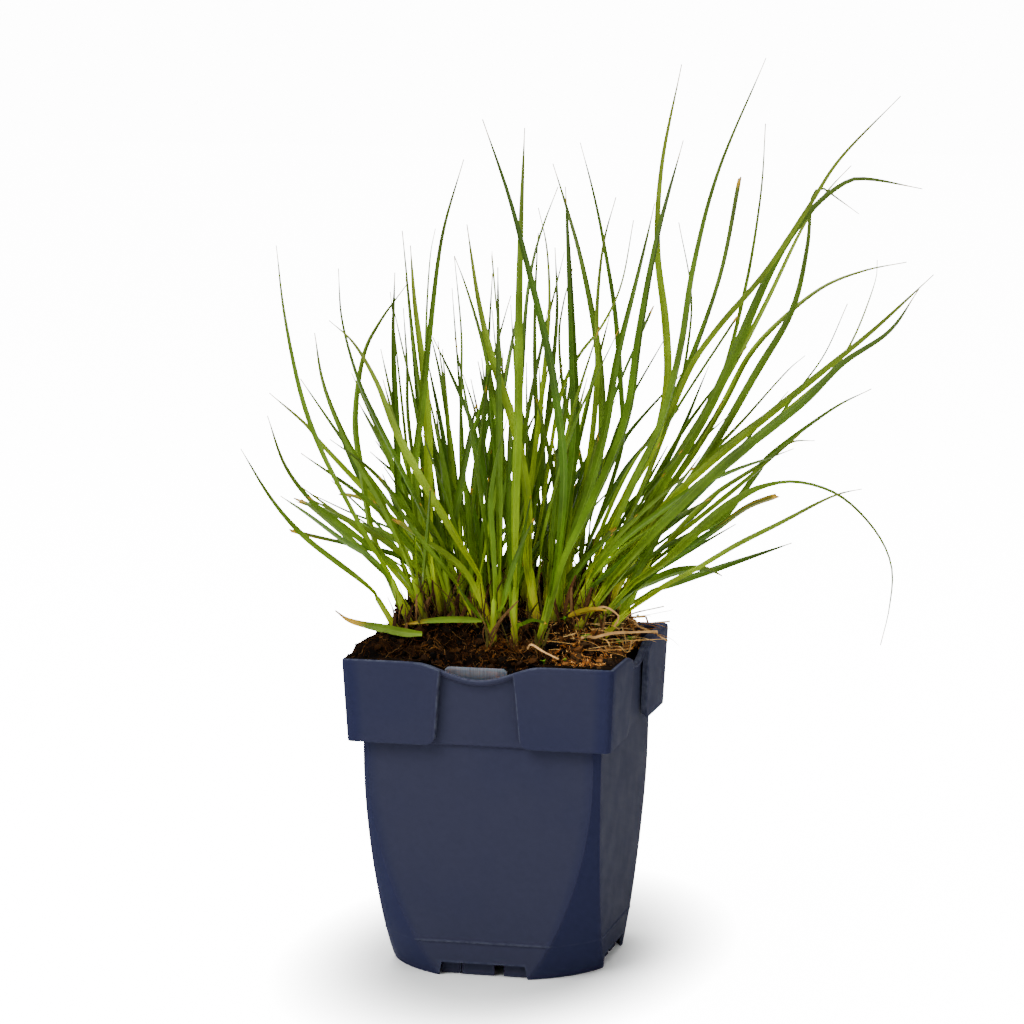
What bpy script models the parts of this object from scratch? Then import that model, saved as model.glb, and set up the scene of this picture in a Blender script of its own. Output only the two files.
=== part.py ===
# Switchgrass in a square nursery pot, in metres, +Z up, +Y away from the pot's front side.

import math
import random

import bmesh
import bpy
from mathutils import Vector
from mathutils.bvhtree import BVHTree

MM = 0.001

# Pot, in millimetres: half widths are measured from the pot's axis
RIM_TOP = 154.4
FLAP_FOOT = 114.4
RIM_HALF = 66.0
FLAP_FOOT_HALF = 63.9
FLAP_SHEET = 1.2
FLAP_END_TOP = 17.7
FLAP_END_FOOT = 20.7
FLAP_CORNER = 3.0
COLLAR_TOP_HALF = 61.5
COLLAR_FOOT_HALF = 60.0
BODY_TOP_HALF = 58.1
BODY_FOOT_HALF = 50.0
BARREL_FOOT = 54.0
BARREL_TOP = 79.5
BARREL_SWELL = 1.75
COLLAR_RADIUS = 91.5
SOIL_RADIUS = 82.5
WALL = 1.2
FLOOR_UNDER = 7.5
FLOOR_TOP = 9.0
BAND_HEIGHT = 17.0
BAND_STEP = 0.35
LIP_OUT = 1.5
LIP_TALL = 2.6
DIP_DEPTH = 7.4
DIP_HALF = 21.0
NOTCH_HALF = 22.0
NOTCH_TALL = 6.6

# Clip on the front side of the rim
CLIP_WIDE = 30.0
CLIP_THICK = 1.0
CLIP_TOP = 152.0
CLIP_FOOT = 147.0
CLIP_CENTRE = -1.5

# Soil
GAP = 0.3
SOIL_EDGE = 152.6
SOIL_DIP_EDGE = 149.4
SOIL_LEFT_EDGE = 154.6
SOIL_LOW_CORNER = 141.0
MOUND_X = -44.0
MOUND_Y = -12.0
MOUND_RISE = 4.5
MOUND_SPREAD = 11.0
SOCKET_DEEP = 3.0

# The blades are drawn on the upright plane through the pot's axis, as (across, height) in mm, and then
# pushed back along the line to a viewer who stands in front of the plant, a little to its right
VIEW_TURN = math.radians(13.62)
VIEWER = Vector((467.0, -1921.0, 518.0))
ACROSS = Vector((math.cos(VIEW_TURN), math.sin(VIEW_TURN), 0.0))
AWAY = Vector((-math.sin(VIEW_TURN), math.cos(VIEW_TURN), 0.0))
VIEWER_DISTANCE = -VIEWER.dot(AWAY)

# Shoots
STEM_RADIUS = 2.7
STEM_TAPER = 0.72
STEM_LENGTH = 26.0
COLLAR_RISE = 5.0
BLADE_THICK = 0.6
BLADE_STEPS = 6
NARROW_BLADE = 2.7
STRAND_STEPS = 5
CLEARANCE = 0.35
OWN_CLEARANCE = 0.06
ROOT_LIFT = 0.2
DEPTH_TRIES = 160
DEPTH_LIMIT = 112.0

# Shoots: foot (across, height) in mm where it is seen on the soil, then its blades. The first blade grows
# out of the top of the stem. A blade is its width, how it ends, and its points from the stem outwards.
TIP = "tip"
CUT = "cut"
SHOOTS = (
    ((-47.5, 161), (
        (3.6, TIP, ((-58, 188), (-66, 202), (-76, 220), (-90, 248), (-99.5, 275), (-107, 312), (-111, 346))),
        (3.0, TIP, ((-63, 191), (-80, 203), (-97, 216), (-110, 225))),
    )),
    ((-52, 158), (
        (3.2, TIP, ((-66, 179), (-80, 190), (-100, 206), (-115, 224), (-129, 248))),
    )),
    ((-41, 166), (
        (3.4, TIP, ((-47, 188), (-52, 201), (-61, 221), (-70, 237), (-80, 256), (-89, 280), (-93, 304))),
        (3.4, TIP, ((-54, 189), (-66, 199), (-80, 210), (-95, 222), (-108, 240), (-116, 264))),
    )),
    ((-45, 171), (
        (3.6, TIP, ((-52, 195), (-53.5, 225), (-54, 255), (-55.5, 300), (-54.5, 333))),
        (3.4, TIP, ((-59, 192), (-66, 206), (-71, 236), (-74, 262), (-70, 292), (-62, 309), (-49, 327))),
    )),
    ((-34, 167), (
        (4.5, TIP, ((-38, 196), (-39, 225), (-39, 255), (-41, 285), (-45, 318), (-47, 346))),
        (3.5, TIP, ((-43, 206), (-45, 240), (-42, 268), (-38, 305), (-32, 350), (-21.5, 387))),
    )),
    ((-36, 174), (
        (3.4, CUT, ((-48, 199), (-60, 207), (-75, 212), (-88, 218), (-102, 223))),
        (3.0, CUT, ((-52, 195), (-70, 200), (-88, 204), (-105, 208))),
        (1.6, TIP, ((-45, 203), (-58, 210), (-76, 217), (-95, 226))),
    )),
    ((-27, 166), (
        (2.8, TIP, ((-32, 193), (-40, 213), (-52, 238), (-64, 262), (-73, 283), (-80, 310), (-81.5, 335))),
        (3.0, TIP, ((-37, 197), (-45, 212), (-54, 223), (-63, 234), (-73, 243), (-86, 252.5))),
    )),
    ((-27, 173), (
        (3.4, TIP, ((-39, 191), (-50, 205), (-60, 217), (-70, 228), (-90, 250), (-98, 260), (-115, 275))),
        (3.0, CUT, ((-41, 201), (-53, 212), (-62, 219), (-74, 225), (-81, 226))),
    )),
    ((-10.5, 163), (
        (4.2, TIP, ((-15, 188), (-28, 210), (-41, 232), (-54, 257), (-63, 280), (-74, 299), (-86, 310))),
        (5.0, CUT, ((-22, 188), (-32, 197), (-42, 204), (-55, 213))),
    )),
    ((-19, 165), (
        (3.0, TIP, ((-13, 190), (-8, 215), (-3, 245), (-7, 272), (-12, 298), (-20, 325), (-26, 341))),
        (2.4, TIP, ((-19, 200), (-20, 222), (-22, 240), (-14, 266), (-8, 290), (-2, 312), (1, 322))),
    )),
    ((-8, 153), (
        (3.2, TIP, ((-7, 178), (-8, 200), (-9, 225), (-5, 248), (-1, 262))),
        (2.2, TIP, ((-15, 167), (-20, 173), (-25, 182))),
        (2.6, TIP, ((-3, 170), (-1, 180), (4, 196), (12, 214))),
    )),
    ((2.5, 152), (
        (5.0, TIP, ((2.5, 185), (2.5, 220), (4, 262), (4.3, 310), (5.5, 355), (7.5, 402))),
        (4.0, CUT, ((0, 196), (-0.5, 225), (0, 250), (1.5, 268))),
        (3.0, CUT, ((6.5, 162), (12, 164), (18, 162.5))),
    )),
    ((14, 151), (
        (4.0, TIP, ((21, 182), (25, 208), (26.5, 240), (23, 272), (18, 300), (5, 352), (-2, 376), (-12.5, 406))),
        (5.2, TIP, ((26, 190), (36, 212), (50, 243), (58, 268), (63, 305), (71, 350), (83, 396))),
    )),
    ((13.5, 164), (
        (4.2, TIP, ((10, 195), (9, 222), (5, 248), (-1, 270), (-9, 295), (-15, 322), (-20, 356))),
        (2.6, TIP, ((7, 200), (11, 235), (15, 268), (18, 298), (19.3, 320), (18, 345), (14, 364))),
    )),
    ((-3, 166), (
        (2.6, TIP, ((-5, 190), (-3, 220), (3, 250), (6, 280), (8.5, 318), (12, 340), (17, 357), (23.5, 374))),
        (3.0, TIP, ((-9, 204), (-11, 228), (-17, 257), (-26, 280), (-36.5, 302))),
    )),
    ((7, 172), (
        (3.0, TIP, ((9, 200), (14, 235), (18, 262), (22, 300), (23, 320), (22, 345))),
        (2.6, TIP, ((5, 205), (9, 230), (13, 255), (12.3, 290), (12.5, 320), (14, 352))),
        (1.8, TIP, ((15, 212), (24, 270), (33, 292), (45, 308), (54, 328), (59.5, 358))),
    )),
    ((26, 171), (
        (4.2, TIP, ((31, 196), (39, 218), (44, 245), (45, 272), (42, 303), (35, 338), (28, 363), (21, 385))),
        (3.0, TIP, ((30.5, 205), (38, 240), (42, 280), (42, 315), (45, 346), (51, 369))),
    )),
    ((22, 164), (
        (5.0, TIP, ((25, 192), (29, 225), (32, 255), (31, 290), (29, 335), (27, 374))),
        (4.0, TIP, ((29, 200), (38, 226), (46, 256), (52, 292), (60, 325), (66, 350), (69.5, 366))),
    )),
    ((32, 177), (
        (3.4, TIP, ((38, 200), (48, 225), (55, 252), (54, 280), (51, 315), (45, 350), (40, 373), (34, 395))),
        (2.0, TIP, ((36, 205), (35, 240), (27, 270), (24, 300), (26, 318), (30.5, 335))),
    )),
    ((33, 168), (
        (4.0, TIP, ((43, 198), (58, 228), (70, 250), (76, 280), (75, 310), (71, 345), (73, 385), (82, 432))),
        (4.5, TIP, ((49, 203), (61, 232), (74, 262), (83, 298), (88.5, 335), (100, 381), (122, 435))),
    )),
    ((40, 180), (
        (3.6, CUT, ((50, 208), (62, 235), (78, 270), (90, 298), (102, 335), (110, 378))),
        (1.6, TIP, ((49, 212), (64, 243), (80, 272), (86, 300), (87, 325), (81, 357))),
    )),
    ((44, 175), (
        (3.6, TIP, ((54, 207), (68, 240), (85, 284), (100, 307), (122, 333), (143, 365), (158, 388), (186, 417))),
        (2.2, TIP, ((60, 212), (80, 243), (100, 276), (113, 325), (120, 370), (122, 404))),
        (3.2, TIP, ((62, 212), (82, 246), (103, 280), (122, 316), (140, 354), (152, 372), (163, 384))),
    )),
    ((40, 170), (
        (6.0, TIP, ((54, 197), (73, 231), (90, 258), (103, 284), (125, 335), (142, 361), (158, 375), (170, 378),
                    (197, 373))),
    )),
    ((48, 178), (
        (5.0, TIP, ((62, 202), (78, 222), (98, 250), (118, 285), (135, 315), (142, 345), (144, 368), (149, 373.5),
                    (156, 369), (167, 361))),
        (3.2, TIP, ((63.5, 211), (87, 243), (103, 270), (115, 293), (130, 310), (150, 326), (170, 334), (190, 338))),
        (2.4, TIP, ((74, 211), (93, 240), (113, 262), (133, 285), (142, 293))),
    )),
    ((48, 170), (
        (4.2, TIP, ((60, 200), (72, 218), (95, 240), (125, 265), (152, 287), (175, 306), (203, 332))),
        (2.4, TIP, ((74, 215), (102, 240), (140, 272), (156, 287), (166, 303), (175, 328), (176, 339))),
    )),
    ((33, 160), (
        (6.2, TIP, ((50, 186), (67, 206), (83, 222), (105, 243), (127, 260), (143, 273), (160, 290), (182, 305),
                    (196, 325))),
        (1.5, TIP, ((66, 200), (90, 226), (120, 252), (141, 279), (152, 295), (162, 318))),
    )),
    ((56, 174), (
        (3.0, TIP, ((70, 193), (85, 204), (103, 214), (113, 227), (120, 237), (127, 246), (155, 267), (174, 277))),
        (3.0, TIP, ((74, 200), (85, 213), (100, 227), (120, 240), (135, 251), (147, 252))),
    )),
    ((28, 164), (
        (3.4, TIP, ((42, 189), (55, 203), (70, 215), (90, 229), (110, 238), (124, 243), (137, 248))),
    )),
    ((42, 162), (
        (5.6, TIP, ((60, 183), (75, 194), (90, 208), (107, 222), (122, 230), (140, 232), (160, 225), (177, 208),
                    (185, 190), (184, 170), (180, 152))),
        (5.2, CUT, ((68, 186), (82, 196), (100, 208.5), (115, 219.5), (129, 225))),
    )),
    ((45, 156), (
        (4.0, TIP, ((60, 171), (75, 182), (90, 190), (110, 202), (130, 212), (150, 222.5), (160, 226.5),
                    (170, 228.5))),
    )),
    ((50, 160), (
        (5.0, TIP, ((63, 180), (78, 187), (90, 189.5), (97, 189), (103, 186))),
        (3.8, TIP, ((61, 186), (67, 197), (76, 213), (90, 230))),
    )),
    ((38, 186), (
        (5.0, CUT, ((50, 203), (63, 217), (75, 232), (83, 245), (87, 254))),
    )),
    ((-31, 180), (
        (2.2, TIP, ((-37, 203), (-44, 230), (-48.5, 262), (-49, 290), (-50.5, 316))),
        (2.2, TIP, ((-35, 205), (-40, 240), (-46, 275), (-52, 302), (-55.5, 318))),
        (2.0, TIP, ((-33, 205), (-38, 240), (-39.5, 275), (-39.3, 310), (-37.5, 340), (-35, 354))),
    )),
    ((-19, 178), (
        (2.6, TIP, ((-23, 203), (-26, 235), (-31, 270), (-34, 288), (-38, 305))),
        (2.2, TIP, ((-25, 207), (-28.5, 245), (-31.5, 280), (-34, 300))),
        (1.8, TIP, ((-21, 205), (-23, 240), (-22.7, 280), (-22.7, 305), (-26, 341))),
    )),
    ((-10, 178), (
        (2.4, TIP, ((-10, 203), (-11, 235), (-15, 262), (-22, 284))),
        (2.4, TIP, ((-7, 205), (-5, 230), (-7.5, 254), (-11, 275), (-13, 292))),
    )),
)

# Feet of the shoots behind, which the front ones hide: their short blades fill the heart of the clump
BACK_FEET = ((-14, 184), (-22, 185), (-3, 185), (8, 187), (19, 183), (28, 183), (3, 179), (19, 176))
BACK_BLADES = 3
BACK_SEED = 41

# Dead straws on the soil and over the rim at the back right, and blades that lie along the soil: node
# name, width, points (across, height), and the depths of the first and the last point
STRANDS = (
    ("straw_1", 1.6, ((38, 168), (46, 170.5), (53, 166), (51, 161)), (-16, -20)),
    ("straw_2", 2.0, ((47, 160), (58, 161), (68, 162.5), (78, 163.5)), (38, 50)),
    ("straw_3", 1.5, ((57, 166), (62, 161.5), (70, 158), (77, 154)), (20, 6)),
    ("straw_4", 1.2, ((54, 165), (62, 168), (75, 171)), (24, 46)),
    ("straw_5", 2.4, ((35, 153), (48, 157), (60, 158), (72, 158.5)), (-25, -2)),
    ("straw_6", 1.5, ((9, 150), (11, 152), (16, 149), (24, 145)), (-44, -58)),
    ("fallen_blade_1", 4.4, ((-42, 157.5), (-50, 158), (-60, 160), (-70, 162), (-78, 164.5), (-84, 169)), (-24, -14)),
    ("fallen_blade_2", 5.4, ((-13, 164), (-25, 164.5), (-38, 164), (-52, 162)), (-12, -13)),
    ("fallen_blade_3", 3.6, ((29, 166), (36, 168.5), (42, 169.5), (47.5, 169)), (-13, -16)),
)
FALLEN = "fallen_blade"
STRAND_LIFTS = (1.9, 2.4, 3.1, 4.0)
STRAND_SHIFTS = (0.0, -2.0, 2.0, -4.0, 4.0, -6.0, 6.0, -8.0, 8.0, -11.0, 11.0, -14.0, 14.0)


# Small helpers

def clear_scene():
    for thing in list(bpy.data.objects):
        bpy.data.objects.remove(thing, do_unlink=True)


def paint(name, colour, roughness):
    material = bpy.data.materials.new(name)
    material.use_nodes = True
    shader = material.node_tree.nodes["Principled BSDF"]
    shader.inputs["Base Color"].default_value = (*colour, 1.0)
    shader.inputs["Roughness"].default_value = roughness
    material.diffuse_color = (*colour, 1.0)
    return material


def add_object(name, shape, material):
    """Turn a bmesh in millimetres into a scene object in metres."""
    bmesh.ops.scale(shape, vec=(MM, MM, MM), verts=shape.verts)
    mesh = bpy.data.meshes.new(name)
    shape.to_mesh(mesh)
    shape.free()
    mesh.materials.append(material)
    thing = bpy.data.objects.new(name, mesh)
    bpy.context.scene.collection.objects.link(thing)
    return thing


def add_loop(shape, points):
    return [shape.verts.new(point) for point in points]


def bridge(shape, lower, upper):
    """Join two loops of equal length, which run anticlockwise as seen from above."""
    count = len(lower)
    for i in range(count):
        j = (i + 1) % count
        shape.faces.new((lower[i], lower[j], upper[j], upper[i]))


def mix(low, high, share):
    return low + (high - low) * share


def smooth_step(low, high, value):
    share = min(1.0, max(0.0, (value - low) / (high - low)))
    return share * share * (3.0 - 2.0 * share)


def boolean(thing, cutter, operation):
    modifier = thing.modifiers.new(cutter.name, "BOOLEAN")
    modifier.operation = operation
    modifier.solver = "EXACT"
    modifier.object = cutter
    cutter.hide_render = True
    cutter.display_type = "WIRE"


# Pot

BODY_LEVELS = (36.0, 74.0)
SIDE_SHARES = (-1.0, -0.34, -0.17, 0.0, 0.17, 0.34, 1.0)
SOIL_SIDE_SHARES = (-1.0, -0.62, -0.32, 0.0, 0.32, 0.62, 1.0)
CORNER_POINTS = 3


def body_half(height):
    return mix(BODY_FOOT_HALF, BODY_TOP_HALF, height / FLAP_FOOT)


def barrel_radius(height):
    return mix(BARREL_TOP, BARREL_FOOT, max(0.0, 1.0 - height / FLAP_FOOT) ** BARREL_SWELL)


def outline(half, radius, shares=SIDE_SHARES):
    """A square with its corners cut off by a circle round the axis, anticlockwise."""
    reach = min(half - 0.4, math.sqrt(max(1.0, radius * radius - half * half)))
    corner_radius = math.hypot(half, reach)
    swing = math.atan2(reach, half)
    points = []
    for side in range(4):
        turn = math.radians(90.0 * side)
        for share in shares:
            points.append((turn, half, reach * share))
        for k in range(1, CORNER_POINTS + 1):
            angle = mix(swing, math.radians(90.0) - swing, k / (CORNER_POINTS + 1))
            points.append((turn, corner_radius * math.cos(angle), corner_radius * math.sin(angle)))
    return [(x * math.cos(turn) - y * math.sin(turn), x * math.sin(turn) + y * math.cos(turn))
            for turn, x, y in points]


def ring(half, radius, height, shares=SIDE_SHARES):
    return [(x, y, height) for x, y in outline(half, radius, shares)]


def dip(x, y, half):
    """How far the rim dips at a point: an arc across the middle of each side."""
    along = min(abs(x), abs(y))
    if max(abs(x), abs(y)) < half - 1.0 or along > DIP_HALF:
        return 0.0
    return DIP_DEPTH * (1.0 - (along / DIP_HALF) ** 2)


def dipped_ring(half, height):
    return [(x, y, height - dip(x, y, half)) for x, y in outline(half, COLLAR_RADIUS)]


def build_pot_shell():
    """Outer skin from the foot up, over the rim and down the inside to the floor."""
    top = RIM_TOP - 1.0
    loops = [ring(BODY_FOOT_HALF - 1.6, BARREL_FOOT - 1.6, FLOOR_UNDER),
             ring(BODY_FOOT_HALF - WALL, BARREL_FOOT - WALL, 0.0),
             ring(BODY_FOOT_HALF, BARREL_FOOT, 0.0),
             ring(body_half(BAND_HEIGHT), barrel_radius(BAND_HEIGHT), BAND_HEIGHT),
             ring(body_half(BAND_HEIGHT) + BAND_STEP, barrel_radius(BAND_HEIGHT) + BAND_STEP, BAND_HEIGHT + 0.2)]
    for height in (*BODY_LEVELS, FLAP_FOOT - 1.0):
        loops.append(ring(body_half(height), barrel_radius(height), height))
    loops.append(ring(COLLAR_FOOT_HALF, COLLAR_RADIUS, FLAP_FOOT + 0.6))
    loops.append(dipped_ring(COLLAR_TOP_HALF, top - LIP_TALL))
    loops.append(dipped_ring(COLLAR_TOP_HALF + LIP_OUT, top - 0.6 * LIP_TALL))
    loops.append(dipped_ring(COLLAR_TOP_HALF + LIP_OUT, top - 0.25 * LIP_TALL))
    loops.append(dipped_ring(COLLAR_TOP_HALF + 0.3, top))
    loops.append(dipped_ring(COLLAR_TOP_HALF - 0.6, top - 0.4))
    inner = COLLAR_FOOT_HALF - WALL
    loops.append(ring(inner, COLLAR_RADIUS, FLAP_FOOT + 6.0))
    for height in (FLAP_FOOT - 2.0, *reversed(BODY_LEVELS), FLOOR_TOP):
        loops.append(ring(body_half(height) - WALL, barrel_radius(height) - WALL, height))
    shape = bmesh.new()
    rows = [add_loop(shape, points) for points in loops]
    for lower, upper in zip(rows, rows[1:]):
        bridge(shape, lower, upper)
    shape.faces.new(list(reversed(rows[0])))
    shape.faces.new(rows[-1])
    bmesh.ops.recalc_face_normals(shape, faces=shape.faces)
    return shape


def flap_half(height):
    return mix(FLAP_FOOT_HALF, RIM_HALF, (height - FLAP_FOOT) / (RIM_TOP - FLAP_FOOT))


def flap_end(height):
    return mix(FLAP_END_FOOT, FLAP_END_TOP, (height - FLAP_FOOT) / (RIM_TOP - FLAP_FOOT))


def build_flap(quarter):
    """An L-shaped sheet that hangs from the rim round one corner, with the flange that carries it."""
    sheet_top = RIM_TOP - 1.4
    flange_in = COLLAR_TOP_HALF - 1.0
    profile = ((0.0, RIM_TOP), (0.0, FLAP_FOOT + 1.0), (-0.4, FLAP_FOOT), (-FLAP_SHEET, FLAP_FOOT),
               (-FLAP_SHEET, sheet_top), (None, sheet_top), (None, RIM_TOP))
    shape = bmesh.new()
    stations = []
    for station in range(7):
        points = []
        for inset, height in profile:
            half = flange_in if inset is None else flap_half(height) + inset
            end = flap_end(height)
            corner = max(0.6, FLAP_CORNER + (half - flap_half(height)))
            if station == 0:
                x, y = end, half
            elif station == 1:
                x, y = end + 4.0, half
            elif station == 5:
                x, y = half, end + 4.0
            elif station == 6:
                x, y = half, end
            else:
                angle = math.radians(90.0 - 45.0 * (station - 2))
                x = half - corner + corner * math.cos(angle)
                y = half - corner + corner * math.sin(angle)
            lift = 3.0 if station in (0, 6) and height < FLAP_FOOT + 2.0 else 0.0
            turn = math.radians(90.0 * quarter)
            points.append((x * math.cos(turn) - y * math.sin(turn),
                           x * math.sin(turn) + y * math.cos(turn), height + lift))
        stations.append(add_loop(shape, points))
    for near, far in zip(stations, stations[1:]):
        bridge(shape, near, far)
    shape.faces.new(list(reversed(stations[0])))
    shape.faces.new(stations[-1])
    bmesh.ops.recalc_face_normals(shape, faces=shape.faces)
    return shape


def build_notch(side):
    """A wedge that cuts the opening in the foot of one side."""
    shape = bmesh.new()
    near = BODY_FOOT_HALF - 4.0
    far = BODY_FOOT_HALF + 3.0
    lower = add_loop(shape, ((near, -NOTCH_HALF, -1.0), (far, -NOTCH_HALF, -1.0),
                             (far, NOTCH_HALF, -1.0), (near, NOTCH_HALF, -1.0)))
    slant = NOTCH_HALF - 1.5
    upper = add_loop(shape, ((near, -slant, NOTCH_TALL), (far, -slant, NOTCH_TALL),
                             (far, slant, NOTCH_TALL), (near, slant, NOTCH_TALL)))
    bridge(shape, lower, upper)
    shape.faces.new(list(reversed(lower)))
    shape.faces.new(upper)
    turn = math.radians(90.0 * side)
    for vert in shape.verts:
        x, y, z = vert.co
        vert.co = (x * math.cos(turn) - y * math.sin(turn), x * math.sin(turn) + y * math.cos(turn), z)
    return shape


def build_pot(plastic):
    pot = add_object("pot", build_pot_shell(), plastic)
    for quarter in range(4):
        boolean(pot, add_object(f"flap_{quarter}", build_flap(quarter), plastic), "UNION")
    for side in range(4):
        boolean(pot, add_object(f"notch_{side}", build_notch(side), plastic), "DIFFERENCE")


def build_clip(plastic):
    """A strip of plastic with round ends that stands behind the dip of the front rim."""
    front = -(COLLAR_TOP_HALF - 1.6)
    back = front + CLIP_THICK
    half = CLIP_WIDE / 2.0
    edge = [(half * share, CLIP_TOP - 1.2 * abs(share) ** 6) for share in (1.0, 0.85, 0.4, 0.0, -0.4, -0.85, -1.0)]
    edge = [(-half + 0.8, CLIP_FOOT), (half - 0.8, CLIP_FOOT)] + edge
    shape = bmesh.new()
    near = add_loop(shape, [(CLIP_CENTRE + x, front, z) for x, z in edge])
    far = add_loop(shape, [(CLIP_CENTRE + x, back, z) for x, z in edge])
    bridge(shape, near, far)
    shape.faces.new(list(reversed(near)))
    shape.faces.new(far)
    bmesh.ops.recalc_face_normals(shape, faces=shape.faces)
    add_object("label_clip", shape, plastic)


# Soil

SOIL_HALF_TOP = 58.3
SOIL_WALL_HEIGHT = 140.0
SOIL_SHARES = (0.9, 0.78, 0.64, 0.48, 0.3, 0.12)


def soil_height(x, y):
    """The soil rises from the rim to a crown of roots that is highest behind the middle."""
    depth = x * AWAY.x + y * AWAY.y
    across = x * ACROSS.x + y * ACROSS.y
    crown = mix(153.5, 166.0, smooth_step(-55.0, 2.0, depth)) + 17.0 * smooth_step(0.0, 42.0, depth)
    crown -= 10.0 * smooth_step(-12.0, -45.0, across) * smooth_step(0.0, 40.0, depth)
    crown -= 8.0 * smooth_step(44.0, 62.0, depth)
    crown -= 7.0 * smooth_step(30.0, 62.0, across) * smooth_step(30.0, -30.0, depth)
    crown += 1.2 * math.sin(0.21 * x + 1.0) * math.cos(0.17 * y)
    crown += MOUND_RISE * math.exp(-((x - MOUND_X) ** 2 + (y - MOUND_Y) ** 2) / (2.0 * MOUND_SPREAD ** 2))
    inset = SOIL_HALF_TOP - max(abs(x), abs(y))
    edge = mix(SOIL_DIP_EDGE, SOIL_EDGE, smooth_step(10.0, 26.0, min(abs(x), abs(y))))
    edge = mix(edge, SOIL_LEFT_EDGE, smooth_step(-30.0, -50.0, x))
    edge = mix(edge, SOIL_LOW_CORNER, smooth_step(70.0, 105.0, x + y))
    slope = mix(17.0, 9.0, smooth_step(-30.0, -50.0, x))
    return mix(edge, crown, smooth_step(0.0, slope, inset))


def build_soil(peat):
    shape = bmesh.new()
    rows = []
    floor = FLOOR_TOP + GAP
    for height in (floor, *BODY_LEVELS, FLAP_FOOT - 3.0):
        rows.append(add_loop(shape, ring(body_half(height) - WALL - GAP - 0.2,
                                         barrel_radius(height) - WALL - GAP - 0.2, height, SOIL_SIDE_SHARES)))
    rows.append(add_loop(shape, ring(body_half(FLAP_FOOT) - WALL - GAP - 0.2, BARREL_TOP,
                                     SOIL_WALL_HEIGHT - 12.0, SOIL_SIDE_SHARES)))
    rim = outline(SOIL_HALF_TOP, SOIL_RADIUS, SOIL_SIDE_SHARES)
    rows.append(add_loop(shape, [(x, y, soil_height(x, y)) for x, y in rim]))
    for share in SOIL_SHARES:
        rows.append(add_loop(shape, [(x * share, y * share, soil_height(x * share, y * share)) for x, y in rim]))
    for lower, upper in zip(rows, rows[1:]):
        bridge(shape, lower, upper)
    shape.faces.new(list(reversed(rows[0])))
    shape.faces.new(rows[-1])
    bmesh.ops.triangulate(shape, faces=shape.faces)
    bmesh.ops.recalc_face_normals(shape, faces=shape.faces)
    return add_object("soil", shape, peat)


# Drawing plane and lines of sight

def slid_back(across, height, depth):
    """The point seen at (across, height) on the drawing plane, at a depth behind that plane."""
    drawn = ACROSS * across + Vector((0.0, 0.0, height))
    return VIEWER + (drawn - VIEWER) * (1.0 + depth / VIEWER_DISTANCE)


def soil_depth(across, height):
    """The depth at which the line of sight through a drawn point meets the soil."""
    depth = -54.0
    while depth < 54.0:
        point = slid_back(across, height, depth)
        if point.z <= soil_height(point.x, point.y):
            return depth
        depth += 0.5
    return depth


def side_and_back(direction):
    """Two unit vectors square to a direction: one across the view, one along it."""
    side = AWAY.cross(direction).normalized()
    return side, direction.cross(side).normalized()


# Stems and blades

def smooth_path(points, count):
    """Points at even steps along a smooth curve through the given ones."""
    padded = [points[0] * 2.0 - points[1]] + list(points) + [points[-1] * 2.0 - points[-2]]
    fine = []
    for i in range(1, len(padded) - 2):
        before, start, end, after = padded[i - 1:i + 3]
        for k in range(8):
            t = k / 8.0
            fine.append(0.5 * ((2.0 * start) + (end - before) * t
                               + (2.0 * before - 5.0 * start + 4.0 * end - after) * t * t
                               + (3.0 * start - before - 3.0 * end + after) * t * t * t))
    fine.append(points[-1])
    lengths = [0.0]
    for near, far in zip(fine, fine[1:]):
        lengths.append(lengths[-1] + (far - near).length)
    path = []
    step = 0
    for k in range(count + 1):
        wanted = lengths[-1] * k / count
        while step < len(fine) - 2 and lengths[step + 1] < wanted:
            step += 1
        share = (wanted - lengths[step]) / max(1e-6, lengths[step + 1] - lengths[step])
        path.append(fine[step].lerp(fine[step + 1], min(1.0, share)))
    return path


def blade_width(share, width, end):
    """Full width to the middle, then a long taper."""
    taper = 1.0 if share < 0.5 else ((1.0 - share) / 0.5) ** 0.7
    if end == CUT:
        taper = max(0.72, taper)
    return max(0.5, width * taper * mix(0.8, 1.0, smooth_step(0.0, 0.2, share)))


def blade_rings(root, path, width, end, roll):
    """Four corners at each step of a blade, twisted from how it leaves the stem to how it lies."""
    start_width = (root[1] - root[0]).normalized()
    before = start_width
    rings = []
    steps = len(path) - 1
    for k in range(1, steps + 1):
        share = k / steps
        ahead = path[min(k + 1, steps)]
        along = (ahead - path[k - 1]).normalized()
        side, back = side_and_back(along)
        wanted = side * math.cos(roll) + back * math.sin(roll)
        if wanted.dot(before) < 0.0:
            wanted = -wanted
        settled = smooth_step(0.0, 0.35, share)
        across = start_width * (1.0 - settled) + wanted * settled
        across = (across - along * across.dot(along)).normalized()
        before = across
        up = along.cross(across)
        half = 0.5 * blade_width(share, width, end)
        thick = 0.5 * BLADE_THICK
        if k == steps and end == TIP:
            half = 0.25
            thick = 0.15
        centre = path[k]
        rings.append([centre - across * half - up * thick, centre + across * half - up * thick,
                      centre + across * half + up * thick, centre - across * half + up * thick])
    return rings


def skin_faces(low, high):
    """The triangles between two sections of a blade, whose two wide sides fold the same way."""
    faces = []
    for i in range(4):
        j = (i + 1) % 4
        if i < 2:
            faces += [(low[i], low[j], high[j]), (low[i], high[j], high[i])]
        else:
            faces += [(low[i], low[j], high[i]), (low[j], high[j], high[i])]
    return faces


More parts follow.
